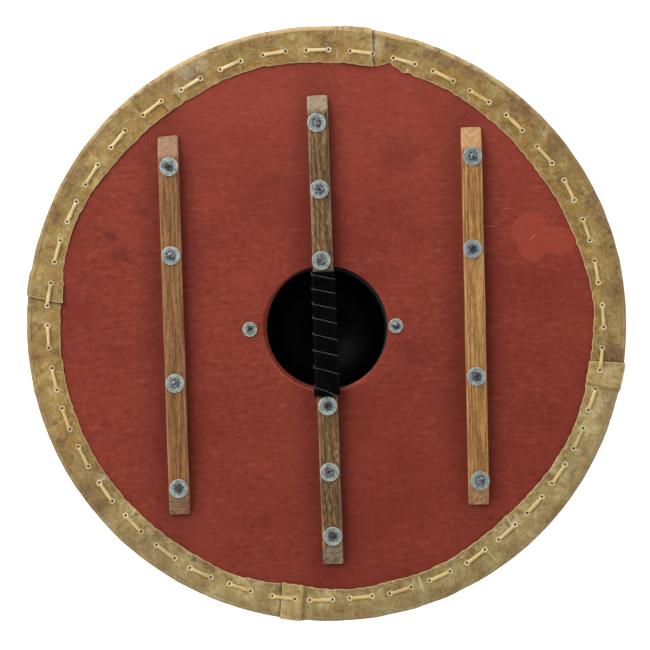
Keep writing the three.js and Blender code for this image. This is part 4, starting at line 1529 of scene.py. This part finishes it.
def strap_surface():
    """The ribbon's outer and inner face. Its upper edge falls from one of TURN_EDGES to the
    next in a turn. Both edges are kept between the wrap's top and foot, so that it starts and
    ends in a taper cut square."""
    factors = section_factors(corner=6, upper=20, side=7, lower=20)
    count = factors.shape[1]
    top_middle = np.argmin(np.abs(factors[0]) - factors[3])
    middle_turns = np.arange(len(TURN_EDGES)) + top_middle / count
    row = np.arange(round(STRAP_TURNS * count))
    turn = row / count
    edge = np.interp(turn, middle_turns, TURN_EDGES) * MM
    edge = edge + rumple(turn, 0 * turn, 61, 0.5 * MM, 1.1)
    width = STRAP + 20 * MM * smooth((turn - 7) / 0.5)  # the tail is spread to cover the foot
    upper = np.clip(edge, WRAP_FOOT + 0.5 * MM, WRAP_TOP)[:, None]
    lower = np.maximum(edge - width, WRAP_FOOT)[:, None]
    share = np.concatenate([[0, 0.012, 0.035, 0.07], np.linspace(0.12, 0.93, 12), [0.965, 1]])
    y = upper * (1 - share) + lower * share
    from_edge = edge[:, None] - y
    earlier_edge = np.interp(turn - 1, middle_turns, TURN_EDGES)[:, None] * MM
    overlap = width[:, None] - earlier_edge + edge[:, None]
    over = (1 - smooth((from_edge - overlap) / (2.5 * MM))) * smooth((turn[:, None] - 0.98) / 0.02)
    bulk = 1.1 * MM * smooth((WRAP_TOP - y) / (150 * MM))  # it is wound fuller toward the foot
    inner = 0.25 * MM + bulk + over * STRAP_THICKNESS
    crease = rumple(turn[:, None] * 40 * MM, y, 62, 0.12 * MM, 9 * MM)
    worn = 0.3 * MM * np.exp(-(upper - y) / (0.5 * MM))
    outer = inner + STRAP_THICKNESS + crease - worn

    def placed(offset):
        """The ribbon's points, that far off the batten, but flat where it lies on the board."""
        these = factors[:, row % count][..., None]
        half, height = BATTEN_HALF + offset, BATTEN_HEIGHT + 2 * offset
        x, z = section(these, half, height, 2.0 * MM + offset, 1.5 * MM + offset)
        z = BATTEN_FOOT - offset + z
        squeezed = smooth((BOARD_FROM - y) / (4 * MM)) * (these[3] < 0.02)
        flat = BOARD_BACK + 0.18 * MM - 0.08 * MM * (offset > inner)
        z = np.where(squeezed > 0, z * (1 - squeezed) + flat * squeezed, z)
        top, foot = (np.array(BATTENS["centre"][key]) * MM for key in ("top", "foot"))
        middle = np.interp(y, [foot[1], top[1]], [foot[0], top[0]])
        return np.stack([middle - x, y, z], -1)

    marks = {"edge": np.clip(upper - y, 0, 20 * MM) / MM}
    return placed(outer), placed(inner), marks


def grip_leather():
    """Black leather with a pebbled grain, grey at the strap's upper edge: worn, and a painted
    highlight.
    """
    leather = Finish("grip_leather", Roughness=0.5, Specular_IOR_Level=0.05)
    cells = {"Vector": leather.mapped((0.0016,) * 3), "Scale": 1.0, "Randomness": 1.0}
    pebbles = leather.put("TexVoronoi", cells).outputs["Distance"]
    soil = leather.noise(0.012, detail=5, roughness=0.6)
    colour = leather.ramp(soil, (0.3, tone(1, 1, 1)), (0.7, tone(4, 4, 5)))
    # Grey along the upper edge of each turn: worn edge, and a painted highlight where it faces the
    # light
    ragged = leather.calc("ADD", leather.mark("edge"), leather.part(soil, 1.4))
    colour = leather.mix(leather.mask(ragged, 1.9, 1.2), colour, tone(72, 75, 78))
    specks = leather.mask(leather.noise(0.002, detail=2), 0.73, 0.77)
    colour = leather.over(colour, specks, 0.5, (90, 88, 84))
    leather.colour(colour)
    leather.dull(leather.ramp(soil, (0.3, 0.4), (0.7, 0.6)))
    leather.relief(pebbles, 0.3 * MM)
    leather.relief(soil, 0.8 * MM)
    return leather.material


outer, inner, marks = strap_surface()
make_sheet("grip_wrap", outer, inner, marks, grip_leather(), "grip_leather")
print("strap", outer.shape[:2], "rows and columns")

# %% [markdown]
# ## Washers and rivets
#
# Steel rivets hold it all together, with a domed head in front and a zinc-plated penny washer
# behind, over which the end is hammered down. Both are turned profiles: a washer's is closed
# on itself, slightly dished and rounded at its edges, and a rivet's ends at its poles. The
# hammered end then gets the facets of the hammer.


# %% Washers
def washer_profile(radius, low, high):
    """Round a washer's section: in along the top, down the hole, out along the bottom."""
    hole, soft, dish = 2.7 * MM, 0.35 * MM, 0.12 * MM
    inward = np.linspace(radius - soft, hole + soft, 8)[1:-1]
    share = (inward - hole) / (radius - hole)
    top = np.stack([inward, high - dish * (1 - share)], -1)
    bottom = np.stack([inward[::-1], low + 0 * inward], -1)
    rows = [
        arc((radius - soft, low + soft), soft, -90, 0, 4),
        arc((radius - soft, high - soft), soft, 0, 90, 4),
        top,
        arc((hole + soft, high - soft - dish), soft, 90, 180, 4),
        arc((hole + soft, low + soft), soft, 180, 270, 4),
        bottom,
    ]
    return np.concatenate(rows)


def rivet_profile(low, high, seat):
    """From the pole of the domed head, up the shank, to the pole of the hammered end."""
    head, shank, peened = 6 * MM, 2.5 * MM, 4.6 * MM
    pole = 0.2 * MM
    depth = 3.5 * MM  # of the domed head
    under = low + depth
    a = np.radians(np.linspace(0, 90, 12))
    head_rows = np.stack([pole + (head - pole) * np.sin(a), under - depth * np.cos(a)], -1)
    rise = high - seat
    a = np.radians(np.linspace(0, 90, 14))
    end_rows = np.stack([pole + (peened - pole) * np.cos(a) ** 0.8, seat + rise * np.sin(a)], -1)
    neck = np.array([[shank, under + 0.1 * MM], [shank, seat - 0.1 * MM]])
    return np.concatenate([head_rows, neck, end_rows])


def hammered(points, centre, seat, seed):
    """Facets on a rivet's end: hammer marks, as a rumple across it that only lowers points."""
    x, y = points[..., 0] - centre[0], points[..., 1] - centre[1]
    above = smooth((points[..., 2] - seat) / (1 * MM))
    marks = np.abs(rumple(x, y, seed, 0.25 * MM, 5 * MM))
    swell = 1 + 0.06 * above * rumple(x, y, seed + 1, 1.0, 9 * MM)
    height = points[..., 2] - above * marks
    return np.stack([centre[0] + x * swell, centre[1] + y * swell, height], -1)


def zinc_steel():
    """Zinc plate: greenish grey, with a pale ring painted at the rim as a highlight, dull and
    speckled toward the rivet, with a few brown specks of rust."""
    zinc = Finish("zinc_steel", Specular_IOR_Level=0.8)
    bloom = zinc.noise(0.004, detail=5, roughness=0.72)
    colour = zinc.ramp(
        bloom,
        (0.36, tone(130, 143, 141)),
        (0.5, tone(168, 181, 177)),
        (0.64, tone(200, 211, 206)),
    )
    radius = zinc.mark("radius")
    # Painted highlight: a pale ring where the washer's rounded rim catches the light
    rim = zinc.mask(zinc.blend((radius, 1.0), (bloom, 1.6)), 10.2, 11.0)
    colour = zinc.over(colour, rim, 0.6, (222, 226, 214))
    grime_and_shade = zinc.noise(0.0022, detail=4, roughness=0.7)
    grime_and_shade = zinc.mask(zinc.blend((radius, 0.06), (grime_and_shade, 1.0)), 0.86, 0.72)
    colour = zinc.over(colour, grime_and_shade, 0.8, (46, 47, 50))
    rust = zinc.mask(zinc.noise(0.009, detail=5, roughness=0.7), 0.62, 0.72)
    colour = zinc.over(colour, rust, 0.45, (122, 84, 58))
    colour = zinc.over(colour, zinc.mark("blue"), 0.2, (112, 144, 166))
    peened = zinc.mark("peened")
    blows = zinc.noise(0.006, detail=2, bend=0.5)
    bruised = zinc.ramp(blows, (0.44, tone(36, 28, 28)), (0.6, tone(140, 136, 138)))
    colour = zinc.mix(zinc.part(peened, 0.9), colour, bruised)
    colour = zinc.over(colour, zinc.mark("rusty"), 0.8, (66, 46, 40))
    zinc.colour(colour)
    zinc.feed(zinc.shader, {"Metallic": zinc.calc("ADD", zinc.part(peened, 0.25), 0.45)})
    zinc.dull(zinc.blend((bloom, 0.5), (peened, -0.08), (0.17, 1.0)))
    zinc.relief(bloom, 0.2 * MM)
    return zinc.material


# %% Fasteners
def turned_radius(points, centre):
    """Distance of points from a vertical axis at `centre`, in mm."""
    return np.hypot(points[..., 0] - centre[0], points[..., 1] - centre[1]) / MM


RUSTY = ("rivet_left_4", "rivet_centre_6", "rivet_right_3", "rivet_centre_4")
LARGE = 10 * MM  # a washer of more than this radius is a batten's
WASHER_RIM = 10.5  # value of the mark "radius" at a washer's rim, whatever its size
BLUISH_FROM = 150 * MM  # the washers from this x on are a little bluer
zinc_finish = zinc_steel()
washers = sorted(name for name in frame["nodes"] if name.startswith("washer_"))
for number, name in enumerate(washers):
    low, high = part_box(name)
    centre = ((low.x + high.x) / 2, (low.y + high.y) / 2)
    radius = (high.x - low.x) / 2
    points = turned(washer_profile(radius, low.z, high.z), centre, 72)
    faces = grid_faces(*points.shape[:2], wrap_rows=True, wrap_columns=True)
    blue = np.full(points.shape[:2], float(centre[0] > BLUISH_FROM))
    marks = {"radius": turned_radius(points, centre) + WASHER_RIM - radius / MM, "blue": blue}
    make_piece(name, points, faces, zinc_finish, marks, sharp=60)

    rivet = name.replace("washer", "rivet")
    rivet_low, rivet_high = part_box(rivet)
    points = turned(rivet_profile(rivet_low.z, rivet_high.z, high.z), centre, 40)
    points = hammered(points, centre, high.z, seed=100 + 2 * number)
    middle = turned_radius(points, centre)
    marks = {
        "radius": 8 - middle if radius > LARGE else middle,
        "peened": np.ones(points.shape[:2]),
        "rusty": 0.9 * (rivet in RUSTY) * (middle < 5.2),
    }
    faces = tube_faces(*points.shape[:2])
    make_piece(rivet, points, faces, zinc_finish, marks, sharp=60)
print(len(washers), "washers and as many rivets")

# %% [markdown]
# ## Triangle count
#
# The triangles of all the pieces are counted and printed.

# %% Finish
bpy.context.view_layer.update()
triangles = sum(
    len(face.vertices) - 2
    for piece in bpy.data.objects
    if piece.name.endswith(".look")
    for face in piece.data.polygons
)
print(triangles, "triangles in all")
